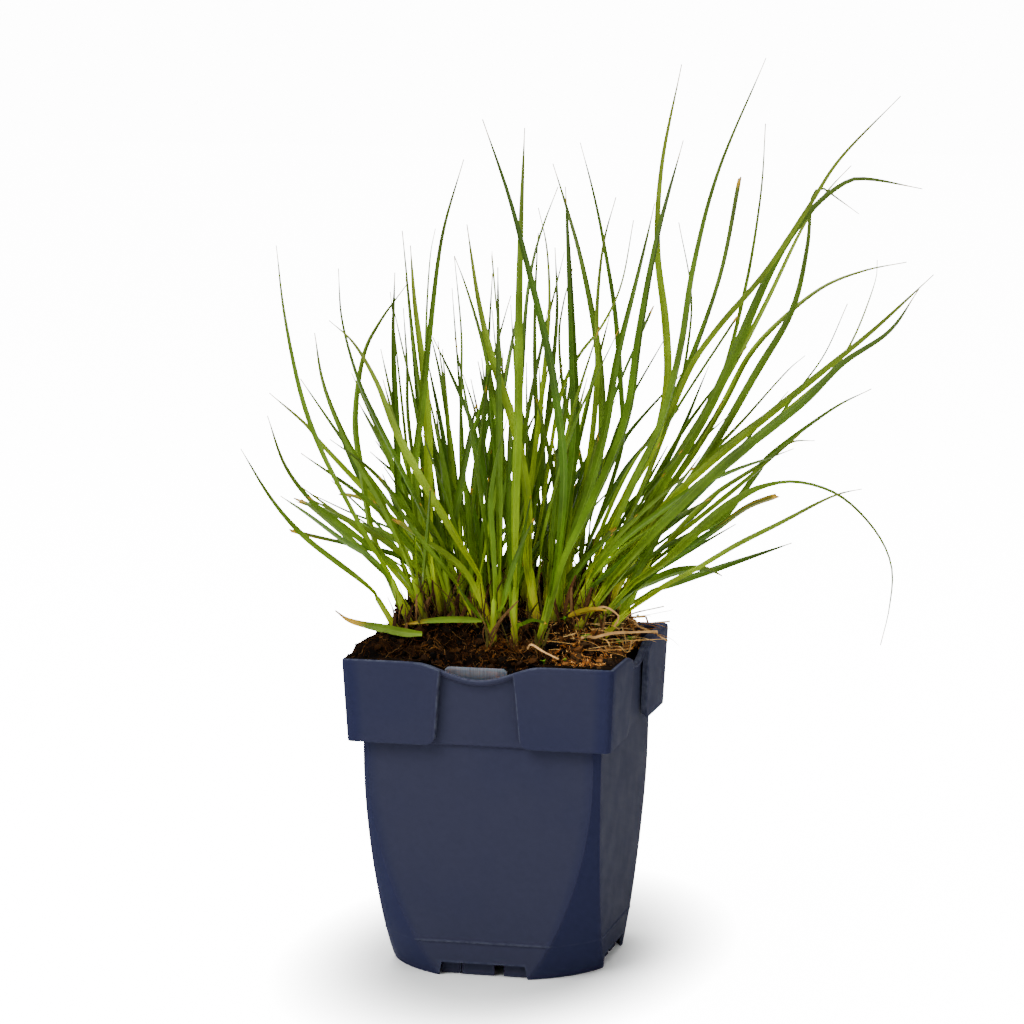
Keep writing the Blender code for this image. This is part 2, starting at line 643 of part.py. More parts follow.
def skin_shape(rings, extra):
    """Corners and faces of a blade's skin, fattened a little."""
    points = []
    faces = []
    for corners in rings:
        centre = sum(corners, Vector()) / 4.0
        for corner in corners:
            points.append(corner + (corner - centre).normalized() * extra * 1.5)
    for k in range(0, len(points) - 4, 4):
        faces += skin_faces(range(k, k + 4), range(k + 4, k + 8))
    faces.append((0, 1, 2, 3))
    last = len(points) - 4
    faces.append((last, last + 1, last + 2, last + 3))
    return points, faces


def blade_tree(rings, extra):
    """A search tree of a blade's skin, for finding what it would touch."""
    return BVHTree.FromPolygons(*skin_shape(rings, extra))


def crosses_itself(rings):
    """Whether two faces of a skin meet that share no corner."""
    points, faces = skin_shape(rings, 0.0)
    tree = BVHTree.FromPolygons(points, faces)
    return any(not set(faces[a]) & set(faces[b]) for a, b in tree.overlap(tree) if a < b)


def stem_ring(centre, along, radius):
    """Four corners round a stem, one pair of sides facing across the view."""
    side, back = side_and_back(along)
    return [centre + (-side - back) * radius * 0.7071, centre + (side - back) * radius * 0.7071,
            centre + (side + back) * radius * 0.7071, centre + (-side + back) * radius * 0.7071]


class Shoot:
    """One shoot: its stem's rings, the face that each blade leaves from, and its blades."""

    def __init__(self, foot, blades):
        self.blades = blades
        self.drawn_foot = foot
        depth = soil_depth(*foot)
        self.depth = depth
        self.foot = slid_back(foot[0], foot[1], depth)
        first = blades[0][2][0]
        goal = slid_back(first[0], first[1], depth)
        self.along = (goal - self.foot).normalized()
        self.length = min(STEM_LENGTH, 0.8 * (goal - self.foot).length)
        self.radius = STEM_RADIUS * (0.7 if max(blade[0] for blade in blades) < 2.5 else 1.0)
        self.rings = []
        self.roots = [None] * (len(blades) - 1)
        self.plan_rings()
        self.skins = [blade_tree(self.rings, 0.0)]

    def plan_rings(self):
        """Heights of the rings up the stem: two for each side blade, the blade that swings widest lowest."""
        swings = [self.swing(blade) for blade in self.blades[1:]]
        heights = [-SOCKET_DEEP + GAP]
        for k, index in enumerate(sorted(range(len(swings)), key=lambda index: -abs(swings[index]))):
            base = self.length * (k + 0.8) / (len(swings) + 1) - 0.5 * COLLAR_RISE + 2.0
            heights += [base, base + COLLAR_RISE]
            self.roots[index] = (2 * k + 1, 1 if swings[index] > 0.0 else 3)
        heights.append(max(self.length, heights[-1] + 2.0))
        top = heights[-1]
        for height in heights:
            radius = self.radius * mix(1.0, STEM_TAPER, max(0.0, height) / top)
            self.rings.append(stem_ring(self.foot + self.along * height, self.along, radius))
        self.top = self.foot + self.along * top

    def swing(self, blade):
        """How far to the right of the first blade's course another blade sets out, as drawn."""
        course = [Vector(point) for point in (self.drawn_foot, *self.blades[0][2])]
        point = Vector(blade[2][0])
        gaps = []
        for near, far in zip(course, course[1:]):
            along = far - near
            share = min(1.0, max(0.0, (point - near).dot(along) / along.length_squared))
            gap = point - near.lerp(far, share)
            gaps.append((gap.length, gap.dot(Vector((along.y, -along.x)))))
        length, right = min(gaps)
        return math.copysign(length, right)

    def root_of(self, index):
        """The four corners that blade number index grows from, anticlockwise as seen from outside."""
        if index == 0:
            return self.rings[-1]
        lower, side = self.roots[index - 1]
        a, b = (1, 2) if side == 1 else (3, 0)
        return [self.rings[lower][a], self.rings[lower][b], self.rings[lower + 1][b], self.rings[lower + 1][a]]

    def tree(self):
        return blade_tree(self.rings, CLEARANCE)


def lifted(root):
    """The corners a blade grows from, moved a little off the stem."""
    out = (root[1] - root[0]).cross(root[3] - root[0]).normalized()
    return [corner + out * ROOT_LIFT for corner in root]


def blade_steps(width, drawn):
    """Facets along a blade: fewer on a narrow or a short one."""
    if len(drawn) < 4:
        return BLADE_STEPS - 2
    return BLADE_STEPS if width > NARROW_BLADE else BLADE_STEPS - 1


def place_blade(shoot, index, taken, chance):
    """Find a depth for the blade's tip at which it touches nothing that stands already."""
    width, end, drawn = shoot.blades[index]
    root = shoot.root_of(index)
    start = sum(root, Vector()) / 4.0
    count = max(blade_steps(width, drawn), len(drawn))
    roll = 0.0
    for attempt in range(DEPTH_TRIES):
        reach = 0.3 * (Vector(drawn[-1]) - Vector(drawn[0])).length
        lean = shoot.depth * 0.6 + chance.uniform(-1.0, 1.0) * min(90.0, reach + attempt)
        lean = max(-DEPTH_LIMIT - shoot.depth, min(DEPTH_LIMIT - shoot.depth, lean))
        roll = chance.uniform(0.15, 0.75) * chance.choice((-1.0, 1.0))
        points = [start]
        for k, (across, height) in enumerate(drawn):
            share = (k + 0.6) / (len(drawn) - 0.4)
            points.append(slid_back(across, height, shoot.depth + lean * share ** 1.3))
        rings = blade_rings(root, smooth_path(points, count), width, end, roll)
        tree = blade_tree([root] + rings, CLEARANCE)
        if any(tree.overlap(other) for owner, other in taken if owner is not shoot):
            continue
        skin = blade_tree([lifted(root)] + rings, OWN_CLEARANCE)
        if any(skin.overlap(other) for other in shoot.skins) or crosses_itself([root] + rings):
            continue
        shoot.skins.append(skin)
        taken.append((shoot, tree))
        return rings
    return None


def build_shoot(name, shoot, blade_sets, material):
    """One closed skin: the stem's sides, left open where a blade grows out, and the blades."""
    shape = bmesh.new()
    rows = [add_loop(shape, corners) for corners in shoot.rings]
    open_faces = {root: index + 1 for index, root in enumerate(shoot.roots) if blade_sets[index + 1]}
    shape.faces.new(list(reversed(rows[0])))
    for level in range(len(rows) - 1):
        for i in range(4):
            if (level, i) in open_faces:
                continue
            j = (i + 1) % 4
            shape.faces.new((rows[level][i], rows[level][j], rows[level + 1][j], rows[level + 1][i]))
    for index, rings in enumerate(blade_sets):
        if not rings:
            continue
        if index == 0:
            last = rows[-1]
        else:
            lower, side = shoot.roots[index - 1]
            a, b = (1, 2) if side == 1 else (3, 0)
            last = [rows[lower][a], rows[lower][b], rows[lower + 1][b], rows[lower + 1][a]]
        for corners in rings:
            row = add_loop(shape, corners)
            for face in skin_faces(last, row):
                shape.faces.new(face)
            last = row
        shape.faces.new(last)
    bmesh.ops.triangulate(shape, faces=shape.faces)
    bmesh.ops.recalc_face_normals(shape, faces=shape.faces)
    return add_object(name, shape, material)


def build_socket(shoot):
    """The hole in the soil that a stem's foot stands in, with a small gap all round."""
    shape = bmesh.new()
    radius = shoot.radius + GAP * 1.4143
    rows = [add_loop(shape, stem_ring(shoot.foot + shoot.along * height, shoot.along, radius))
            for height in (-SOCKET_DEEP, 8.0)]
    bridge(shape, rows[0], rows[1])
    shape.faces.new(list(reversed(rows[0])))
    shape.faces.new(rows[1])
    bmesh.ops.recalc_face_normals(shape, faces=shape.faces)
    return shape


def back_blades(foot, chance):
    """Short blades of a shoot at the back of the clump, fanned round its stem."""
    across, height = foot
    blades = []
    for k in range(BACK_BLADES):
        spread = mix(-30.0, 38.0, (k + chance.random()) / BACK_BLADES)
        rise = chance.uniform(62.0, 118.0)
        points = ((across + 0.22 * spread, height + 0.30 * rise), (across + 0.55 * spread, height + 0.66 * rise),
                  (across + spread, height + rise))
        blades.append((chance.uniform(2.2, 4.2), TIP, points))
    return tuple(blades)


def stand_shoot(foot, blades, taken):
    """Stand a shoot's stem on the soil, a little aside where another stem is in the way."""
    shoot = None
    for shift in (0.0, 1.5, -1.5, 3.0, -3.0, 4.5, -4.5, 6.0, -6.0, 8.0, -8.0):
        shoot = Shoot((foot[0] + shift, foot[1]), blades)
        tree = shoot.tree()
        if not any(tree.overlap(other) for _, other in taken):
            break
    else:
        print("no room for the shoot at", foot)
    taken.append((shoot, shoot.tree()))
    return shoot


def build_shoots(soil, green, taken):
    chance = random.Random(BACK_SEED)
    layout = list(SHOOTS) + [(foot, back_blades(foot, chance)) for foot in BACK_FEET]
    shoots = [stand_shoot(foot, blades, taken) for foot, blades in layout]
    sockets = bmesh.new()
    for shoot in shoots:
        part = build_socket(shoot)
        mesh = bpy.data.meshes.new("socket")
        part.to_mesh(mesh)
        part.free()
        sockets.from_mesh(mesh)
    boolean(soil, add_object("sockets", sockets, green), "DIFFERENCE")
    for number, shoot in enumerate(shoots):
        sets = [place_blade(shoot, index, taken, chance) for index in range(len(shoot.blades))]
        for index, rings in enumerate(sets):
            if rings is None:
                print("no room for blade", number, index)
        build_shoot(f"shoot_{number + 1:02d}", shoot, sets, green)


def strand_rings(strand, shift, lift):
    """A straw or a fallen blade at a depth, lifted clear of the soil and the rim all along."""
    _, width, drawn, depths = strand
    points = []
    for k, (across, height) in enumerate(drawn):
        depth = mix(depths[0], depths[1], k / (len(drawn) - 1)) + shift
        points.append(slid_back(across, height, depth))
    path = smooth_path(points, STRAND_STEPS)
    for point in path:
        reach = max(abs(point.x), abs(point.y))
        ground = soil_height(point.x, point.y) if reach < SOIL_HALF_TOP - 1.0 else RIM_TOP
        if reach < RIM_HALF + 2.0:
            point.z = max(point.z, ground + lift)
    start = stem_ring(path[0], (path[1] - path[0]).normalized(), 0.5 * width)
    return [start] + blade_rings(start, path, width, CUT, 0.4)


def place_strand(strand, taken):
    """The first depth and lift, near the drawn ones, at which the strand touches nothing."""
    for lift in STRAND_LIFTS:
        for shift in STRAND_SHIFTS:
            rings = strand_rings(strand, shift, lift)
            tree = blade_tree(rings, CLEARANCE)
            if not any(tree.overlap(other) for _, other in taken):
                taken.append((None, tree))
                return rings
    print("no room for", strand[0])
    return strand_rings(strand, 0.0, STRAND_LIFTS[0])


def build_strand(strand, material, taken):
    name = strand[0]
    rings = place_strand(strand, taken)
    shape = bmesh.new()
    rows = [add_loop(shape, corners) for corners in rings]
    for lower, upper in zip(rows, rows[1:]):
        for face in skin_faces(lower, upper):
            shape.faces.new(face)
    shape.faces.new(list(reversed(rows[0])))
    shape.faces.new(rows[-1])
    bmesh.ops.triangulate(shape, faces=shape.faces)
    bmesh.ops.recalc_face_normals(shape, faces=shape.faces)
    add_object(name, shape, material)


def skin_tree(thing):
    """A search tree of an object's skin in millimetres."""
    mesh = thing.data
    points = [vert.co / MM for vert in mesh.vertices]
    return BVHTree.FromPolygons(points, [tuple(face.vertices) for face in mesh.polygons])


def centre_on_origin():
    """Set the middle of the plant's footprint over the origin, with everything hung on one empty."""
    things = [thing for thing in bpy.data.objects if not thing.hide_render]
    lows = [min((thing.matrix_world @ vert.co)[axis] for thing in things for vert in thing.data.vertices)
            for axis in range(2)]
    highs = [max((thing.matrix_world @ vert.co)[axis] for thing in things for vert in thing.data.vertices)
             for axis in range(2)]
    base = bpy.data.objects.new("plant_base", None)
    base.location = (-(lows[0] + highs[0]) / 2.0, -(lows[1] + highs[1]) / 2.0, 0.0)
    bpy.context.scene.collection.objects.link(base)
    for thing in bpy.data.objects:
        if thing is not base:
            thing.parent = base


def main():
    clear_scene()
    navy = paint("navy_plastic", (0.04, 0.05, 0.11), 0.45)
    frosted = paint("frosted_plastic", (0.8, 0.82, 0.85), 0.5)
    peat = paint("peat", (0.03, 0.02, 0.015), 0.95)
    green = paint("grass", (0.2, 0.35, 0.03), 0.5)
    dry = paint("dry_straw", (0.55, 0.38, 0.2), 0.8)
    build_pot(navy)
    build_clip(frosted)
    soil = build_soil(peat)
    taken = []
    build_shoots(soil, green, taken)
    taken.append((None, skin_tree(soil)))
    for strand in STRANDS:
        build_strand(strand, green if strand[0].startswith(FALLEN) else dry, taken)
    centre_on_origin()


main()
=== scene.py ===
import math
import random

import bmesh
import bpy
from bpy.props import FloatProperty, FloatVectorProperty, IntProperty, PointerProperty
from mathutils import Matrix, Vector, noise
from mathutils.bvhtree import BVHTree


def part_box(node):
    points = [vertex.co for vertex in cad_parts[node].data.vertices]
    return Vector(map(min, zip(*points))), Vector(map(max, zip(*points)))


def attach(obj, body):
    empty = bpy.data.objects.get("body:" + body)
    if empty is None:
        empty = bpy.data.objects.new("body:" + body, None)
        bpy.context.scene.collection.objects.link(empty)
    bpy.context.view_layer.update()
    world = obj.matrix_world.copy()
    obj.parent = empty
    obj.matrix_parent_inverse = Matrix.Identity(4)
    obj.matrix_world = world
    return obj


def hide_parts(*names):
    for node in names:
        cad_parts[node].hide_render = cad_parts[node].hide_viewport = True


bl_info = {
    "name": "Potted switchgrass",
    "version": (1, 0, 0),
    "blender": (4, 5, 0),
    "location": "3D View > Sidebar > Switchgrass",
    "description": "Builds a clump of switchgrass in a square nursery pot",
    "category": "Add Mesh",
}

# The frame, and where the pot's axis stands in it
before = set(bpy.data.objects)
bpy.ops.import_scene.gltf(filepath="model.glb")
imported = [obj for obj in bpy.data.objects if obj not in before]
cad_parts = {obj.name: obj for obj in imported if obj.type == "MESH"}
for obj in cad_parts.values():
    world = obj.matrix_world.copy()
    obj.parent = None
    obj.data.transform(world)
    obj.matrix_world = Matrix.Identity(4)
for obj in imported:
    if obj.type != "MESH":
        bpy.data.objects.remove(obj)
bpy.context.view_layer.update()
MM = 0.001
POT_LOW, POT_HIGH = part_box("pot")
AXIS = Vector(((POT_LOW[0] + POT_HIGH[0]) / 2.0, (POT_LOW[1] + POT_HIGH[1]) / 2.0, 0.0))
BODY = "root"

# Pot, in millimetres: half widths are measured from the pot's axis
RIM_TOP = 154.4
FLAP_FOOT = 114.4
RIM_HALF = 66.0
FLAP_FOOT_HALF = 63.9
FLAP_SHEET = 1.2
FLAP_END_TOP = 17.7
FLAP_END_FOOT = 20.7
FLAP_CORNER = 3.0
COLLAR_TOP_HALF = 61.5
COLLAR_FOOT_HALF = 60.0
BODY_TOP_HALF = 58.1
BODY_FOOT_HALF = 50.0
BARREL_FOOT = 54.0
BARREL_TOP = 79.5
BARREL_SWELL = 1.75
COLLAR_RADIUS = 91.5
SOIL_RADIUS = 82.5
WALL = 1.2
FLOOR_UNDER = 7.5
FLOOR_TOP = 9.0
BAND_HEIGHT = 17.0
BAND_STEP = 0.35
NOTCH_HALF = 22.0
NOTCH_TALL = 6.6
RIM_DROP = 7.8
DIP_REACH = 34.0
FLAP_ROUNDING = 5.0

# Clip on the front side of the rim
CLIP_WIDE = 30.0
CLIP_THICK = 1.0
CLIP_TOP = 152.0
CLIP_FOOT = 147.0
CLIP_CENTRE = -1.5
CLIP_STEPS = 60
CLIP_ROUNDING = 2.5

# Soil
GAP = 0.3
SOIL_EDGE = 152.6
SOIL_DIP_EDGE = 149.4
SOIL_LEFT_EDGE = 154.6
SOIL_LOW_CORNER = 141.0
CROWN_FRONT = 153.5
CROWN_MIDDLE = 166.0
CROWN_RISE = 17.0
LEFT_FALL = 10.0
BACK_FALL = 8.0
RIGHT_FALL = 7.0
SOIL_WAVE = 1.2
MOUND_X = -44.0
MOUND_Y = -12.0
MOUND_RISE = 4.5
MOUND_SPREAD = 11.0
SOCKET_DEEP = 3.0

# The blades are drawn on the upright plane through the pot's axis, as (across, height) in mm, and then
# pushed back along the line to a viewer who stands in front of the plant, a little to its right
VIEW_TURN = math.radians(13.62)
VIEWER = Vector((467.0, -1921.0, 518.0))
ACROSS = Vector((math.cos(VIEW_TURN), math.sin(VIEW_TURN), 0.0))
AWAY = Vector((-math.sin(VIEW_TURN), math.cos(VIEW_TURN), 0.0))
VIEWER_DISTANCE = -VIEWER.dot(AWAY)

# Stems and blades: sizes, clearances, and how far a blade is pushed back
STEM_RADIUS = 2.7
STEM_TAPER = 0.72
STEM_LENGTH = 26.0
COLLAR_RISE = 5.0
BLADE_THICK = 0.6
BLADE_STEPS = 6
NARROW_BLADE = 2.7
SLIM_SHOOT = 2.5
LEAST_WIDTH = 0.5
CUT_WIDTH = 0.72
STRAND_STEPS = 5
CLEARANCE = 0.35
OWN_CLEARANCE = 0.06
ROOT_LIFT = 0.2
DEPTH_TRIES = 160
DEPTH_LIMIT = 112.0
LEAN_LIMIT = 90.0
SOIL_LIMIT = 54.0

# Shoots: foot (across, height) in mm where it is seen on the soil, then its blades. The first blade grows
# out of the top of the stem. A blade is its width, how it ends, and its points from the stem outwards.
TIP = "tip"
CUT = "cut"
SHOOTS = (
    ((-47.5, 161), (
        (3.6, TIP, ((-58, 188), (-66, 202), (-76, 220), (-90, 248), (-99.5, 275), (-107, 312), (-111, 346))),
        (3.0, TIP, ((-63, 191), (-80, 203), (-97, 216), (-110, 225))),
    )),
    ((-52, 158), (
        (3.2, TIP, ((-66, 179), (-80, 190), (-100, 206), (-115, 224), (-129, 248))),
    )),
    ((-41, 166), (
        (3.4, TIP, ((-47, 188), (-52, 201), (-61, 221), (-70, 237), (-80, 256), (-89, 280), (-93, 304))),
        (3.4, TIP, ((-54, 189), (-66, 199), (-80, 210), (-95, 222), (-108, 240), (-116, 264))),
    )),
    ((-45, 171), (
        (3.6, TIP, ((-52, 195), (-53.5, 225), (-54, 255), (-55.5, 300), (-54.5, 333))),
        (3.4, TIP, ((-59, 192), (-66, 206), (-71, 236), (-74, 262), (-70, 292), (-62, 309), (-49, 327))),
    )),
    ((-34, 167), (
        (4.5, TIP, ((-38, 196), (-39, 225), (-39, 255), (-41, 285), (-45, 318), (-47, 346))),
        (3.5, TIP, ((-43, 206), (-45, 240), (-42, 268), (-38, 305), (-32, 350), (-21.5, 387))),
    )),
    ((-36, 174), (
        (3.4, CUT, ((-48, 199), (-60, 207), (-75, 212), (-88, 218), (-102, 223))),
        (3.0, CUT, ((-52, 195), (-70, 200), (-88, 204), (-105, 208))),
        (1.6, TIP, ((-45, 203), (-58, 210), (-76, 217), (-95, 226))),
    )),
    ((-27, 166), (
        (2.8, TIP, ((-32, 193), (-40, 213), (-52, 238), (-64, 262), (-73, 283), (-80, 310), (-81.5, 335))),
        (3.0, TIP, ((-37, 197), (-45, 212), (-54, 223), (-63, 234), (-73, 243), (-86, 252.5))),
    )),
    ((-27, 173), (
        (3.4, TIP, ((-39, 191), (-50, 205), (-60, 217), (-70, 228), (-90, 250), (-98, 260), (-115, 275))),
        (3.0, CUT, ((-41, 201), (-53, 212), (-62, 219), (-74, 225), (-81, 226))),
    )),
    ((-10.5, 163), (
        (4.2, TIP, ((-15, 188), (-28, 210), (-41, 232), (-54, 257), (-63, 280), (-74, 299), (-86, 310))),
        (5.0, CUT, ((-22, 188), (-32, 197), (-42, 204), (-55, 213))),
    )),
    ((-19, 165), (
        (3.0, TIP, ((-13, 190), (-8, 215), (-3, 245), (-7, 272), (-12, 298), (-20, 325), (-26, 341))),
        (2.4, TIP, ((-19, 200), (-20, 222), (-22, 240), (-14, 266), (-8, 290), (-2, 312), (1, 322))),
    )),
    ((-8, 153), (
        (3.2, TIP, ((-7, 178), (-8, 200), (-9, 225), (-5, 248), (-1, 262))),
        (2.2, TIP, ((-15, 167), (-20, 173), (-25, 182))),
        (2.6, TIP, ((-3, 170), (-1, 180), (4, 196), (12, 214))),
    )),
    ((2.5, 152), (
        (5.0, TIP, ((2.5, 185), (2.5, 220), (4, 262), (4.3, 310), (5.5, 355), (7.5, 402))),
        (4.0, CUT, ((0, 196), (-0.5, 225), (0, 250), (1.5, 268))),
        (3.0, CUT, ((6.5, 162), (12, 164), (18, 162.5))),
    )),
    ((14, 151), (
        (4.0, TIP, ((21, 182), (25, 208), (26.5, 240), (23, 272), (18, 300), (5, 352), (-2, 376),
                    (-12.5, 406))),
        (5.2, TIP, ((26, 190), (36, 212), (50, 243), (58, 268), (63, 305), (71, 350), (83, 396))),
    )),
    ((13.5, 164), (
        (4.2, TIP, ((10, 195), (9, 222), (5, 248), (-1, 270), (-9, 295), (-15, 322), (-20, 356))),
        (2.6, TIP, ((7, 200), (11, 235), (15, 268), (18, 298), (19.3, 320), (18, 345), (14, 364))),
    )),
    ((-3, 166), (
        (2.6, TIP, ((-5, 190), (-3, 220), (3, 250), (6, 280), (8.5, 318), (12, 340), (17, 357), (23.5, 374))),
        (3.0, TIP, ((-9, 204), (-11, 228), (-17, 257), (-26, 280), (-36.5, 302))),
    )),
    ((7, 172), (
        (3.0, TIP, ((9, 200), (14, 235), (18, 262), (22, 300), (23, 320), (22, 345))),
        (2.6, TIP, ((5, 205), (9, 230), (13, 255), (12.3, 290), (12.5, 320), (14, 352))),
        (1.8, TIP, ((15, 212), (24, 270), (33, 292), (45, 308), (54, 328), (59.5, 358))),
    )),
    ((26, 171), (
        (4.2, TIP, ((31, 196), (39, 218), (44, 245), (45, 272), (42, 303), (35, 338), (28, 363), (21, 385))),
        (3.0, TIP, ((30.5, 205), (38, 240), (42, 280), (42, 315), (45, 346), (51, 369))),
    )),
    ((22, 164), (
        (5.0, TIP, ((25, 192), (29, 225), (32, 255), (31, 290), (29, 335), (27, 374))),
        (4.0, TIP, ((29, 200), (38, 226), (46, 256), (52, 292), (60, 325), (66, 350), (69.5, 366))),
    )),
    ((32, 177), (
        (3.4, TIP, ((38, 200), (48, 225), (55, 252), (54, 280), (51, 315), (45, 350), (40, 373), (34, 395))),
        (2.0, TIP, ((36, 205), (35, 240), (27, 270), (24, 300), (26, 318), (30.5, 335))),
    )),
    ((33, 168), (
        (4.0, TIP, ((43, 198), (58, 228), (70, 250), (76, 280), (75, 310), (71, 345), (73, 385), (82, 432))),
        (4.5, TIP, ((49, 203), (61, 232), (74, 262), (83, 298), (88.5, 335), (100, 381), (122, 435))),
    )),
    ((40, 180), (
        (3.6, CUT, ((50, 208), (62, 235), (78, 270), (90, 298), (102, 335), (110, 378))),
        (1.6, TIP, ((49, 212), (64, 243), (80, 272), (86, 300), (87, 325), (81, 357))),
    )),
    ((44, 175), (
        (3.6, TIP, ((54, 207), (68, 240), (85, 284), (100, 307), (122, 333), (143, 365), (158, 388),
                    (186, 417))),
        (2.2, TIP, ((60, 212), (80, 243), (100, 276), (113, 325), (120, 370), (122, 404))),
        (3.2, TIP, ((62, 212), (82, 246), (103, 280), (122, 316), (140, 354), (152, 372), (163, 384))),
    )),
    ((40, 170), (
        (6.0, TIP, ((54, 197), (73, 231), (90, 258), (103, 284), (125, 335), (142, 361), (158, 375),
                    (170, 378),
                    (197, 373))),
    )),
    ((48, 178), (
        (5.0, TIP, ((62, 202), (78, 222), (98, 250), (118, 285), (135, 315), (142, 345), (144, 368),
                    (149, 373.5),
                    (156, 369), (167, 361))),
        (3.2, TIP, ((63.5, 211), (87, 243), (103, 270), (115, 293), (130, 310), (150, 326), (170, 334),
                    (190, 338))),
        (2.4, TIP, ((74, 211), (93, 240), (113, 262), (133, 285), (142, 293))),
    )),
    ((48, 170), (
        (4.2, TIP, ((60, 200), (72, 218), (95, 240), (125, 265), (152, 287), (175, 306), (203, 332))),
        (2.4, TIP, ((74, 215), (102, 240), (140, 272), (156, 287), (166, 303), (175, 328), (176, 339))),
    )),
    ((33, 160), (
        (6.2, TIP, ((50, 186), (67, 206), (83, 222), (105, 243), (127, 260), (143, 273), (160, 290),
                    (182, 305),
                    (196, 325))),
        (1.5, TIP, ((66, 200), (90, 226), (120, 252), (141, 279), (152, 295), (162, 318))),
    )),
    ((56, 174), (
        (3.0, TIP, ((70, 193), (85, 204), (103, 214), (113, 227), (120, 237), (127, 246), (155, 267),
                    (174, 277))),
        (3.0, TIP, ((74, 200), (85, 213), (100, 227), (120, 240), (135, 251), (147, 252))),
    )),
    ((28, 164), (
        (3.4, TIP, ((42, 189), (55, 203), (70, 215), (90, 229), (110, 238), (124, 243), (137, 248))),
    )),
    ((42, 162), (
        (5.6, TIP, ((60, 183), (75, 194), (90, 208), (107, 222), (122, 230), (140, 232), (160, 225),
                    (177, 208),
                    (185, 190), (184, 170), (180, 152))),
        (5.2, CUT, ((68, 186), (82, 196), (100, 208.5), (115, 219.5), (129, 225))),
    )),
    ((45, 156), (
        (4.0, TIP, ((60, 171), (75, 182), (90, 190), (110, 202), (130, 212), (150, 222.5), (160, 226.5),
                    (170, 228.5))),
    )),
    ((50, 160), (
        (5.0, TIP, ((63, 180), (78, 187), (90, 189.5), (97, 189), (103, 186))),
        (3.8, TIP, ((61, 186), (67, 197), (76, 213), (90, 230))),
    )),
    ((38, 186), (
        (5.0, CUT, ((50, 203), (63, 217), (75, 232), (83, 245), (87, 254))),
    )),
    ((-31, 180), (
        (2.2, TIP, ((-37, 203), (-44, 230), (-48.5, 262), (-49, 290), (-50.5, 316))),
        (2.2, TIP, ((-35, 205), (-40, 240), (-46, 275), (-52, 302), (-55.5, 318))),
        (2.0, TIP, ((-33, 205), (-38, 240), (-39.5, 275), (-39.3, 310), (-37.5, 340), (-35, 354))),
    )),
    ((-19, 178), (
        (2.6, TIP, ((-23, 203), (-26, 235), (-31, 270), (-34, 288), (-38, 305))),
        (2.2, TIP, ((-25, 207), (-28.5, 245), (-31.5, 280), (-34, 300))),
        (1.8, TIP, ((-21, 205), (-23, 240), (-22.7, 280), (-22.7, 305), (-26, 341))),
    )),
    ((-10, 178), (
        (2.4, TIP, ((-10, 203), (-11, 235), (-15, 262), (-22, 284))),
        (2.4, TIP, ((-7, 205), (-5, 230), (-7.5, 254), (-11, 275), (-13, 292))),
    )),
)

# Feet of the shoots behind, which the front ones hide: their short blades fill the heart of the clump
BACK_FEET = ((-14, 184), (-22, 185), (-3, 185), (8, 187), (19, 183), (28, 183), (3, 179), (19, 176))
BACK_BLADES = 3
BACK_SEED = 41
STEM_SHIFTS = (0.0, 1.5, -1.5, 3.0, -3.0, 4.5, -4.5, 6.0, -6.0, 8.0, -8.0)

# Dead straws on the soil and over the rim at the back right, and blades that lie along the soil: node
# name, width, points (across, height), and the depths of the first and the last point
STRANDS = (
    ("straw_1", 1.6, ((38, 168), (46, 170.5), (53, 166), (51, 161)), (-16, -20)),
    ("straw_2", 2.0, ((47, 160), (58, 161), (68, 162.5), (78, 163.5)), (38, 50)),
    ("straw_3", 1.5, ((57, 166), (62, 161.5), (70, 158), (77, 154)), (20, 6)),
    ("straw_4", 1.2, ((54, 165), (62, 168), (75, 171)), (24, 46)),
    ("straw_5", 2.4, ((35, 153), (48, 157), (60, 158), (72, 158.5)), (-25, -2)),
    ("straw_6", 1.5, ((9, 150), (11, 152), (16, 149), (24, 145)), (-44, -58)),
    ("fallen_blade_1", 4.4, ((-42, 157.5), (-50, 158), (-60, 160), (-70, 162), (-78, 164.5), (-84, 169)),
     (-24, -14)),
    ("fallen_blade_2", 5.4, ((-13, 164), (-25, 164.5), (-38, 164), (-52, 162)), (-12, -13)),
    ("fallen_blade_3", 3.6, ((29, 166), (36, 168.5), (42, 169.5), (47.5, 169)), (-13, -16)),
)
FALLEN = "fallen_blade"
STRAND_ROLL = 0.4
STRAND_LIFTS = (1.9, 2.4, 3.1, 4.0)
STRAND_SHIFTS = (0.0, -2.0, 2.0, -4.0, 4.0, -6.0, 6.0, -8.0, 8.0, -11.0, 11.0, -14.0, 14.0)

# The soil's top and walls
SOIL_HALF_TOP = 58.3
SOIL_WALL_HEIGHT = 140.0
SOIL_SHARES = (0.9, 0.78, 0.64, 0.48, 0.3, 0.12)
SOIL_LEVELS = (36.0, 74.0)
SOIL_SIDE_SHARES = (-1.0, -0.62, -0.32, 0.0, 0.32, 0.62, 1.0)
SOIL_CORNER_POINTS = 3
SOIL_SLACK = 0.2

UP = Vector((0.0, 0.0, 1.0))
FULL_TURN = 6.2832
QUARTERS = [math.radians(90.0 * side) for side in range(4)]


# Plain shapes of the pot and the soil

def mix(low, high, share):
    return low + (high - low) * share


def smooth_step(low, high, value):
    share = min(1.0, max(0.0, (value - low) / (high - low)))
    return share * share * (3.0 - 2.0 * share)


def turned(x, y, turn):
    """A place turned round the axis."""
    return x * math.cos(turn) - y * math.sin(turn), x * math.sin(turn) + y * math.cos(turn)


def body_half(height):
    """Half the width between the body's flat sides."""
    return mix(BODY_FOOT_HALF, BODY_TOP_HALF, height / FLAP_FOOT)


def barrel_radius(height):
    """The radius that cuts off the body's corners: round at the foot, nearly square at the top."""
    return mix(BARREL_TOP, BARREL_FOOT, max(0.0, 1.0 - height / FLAP_FOOT) ** BARREL_SWELL)


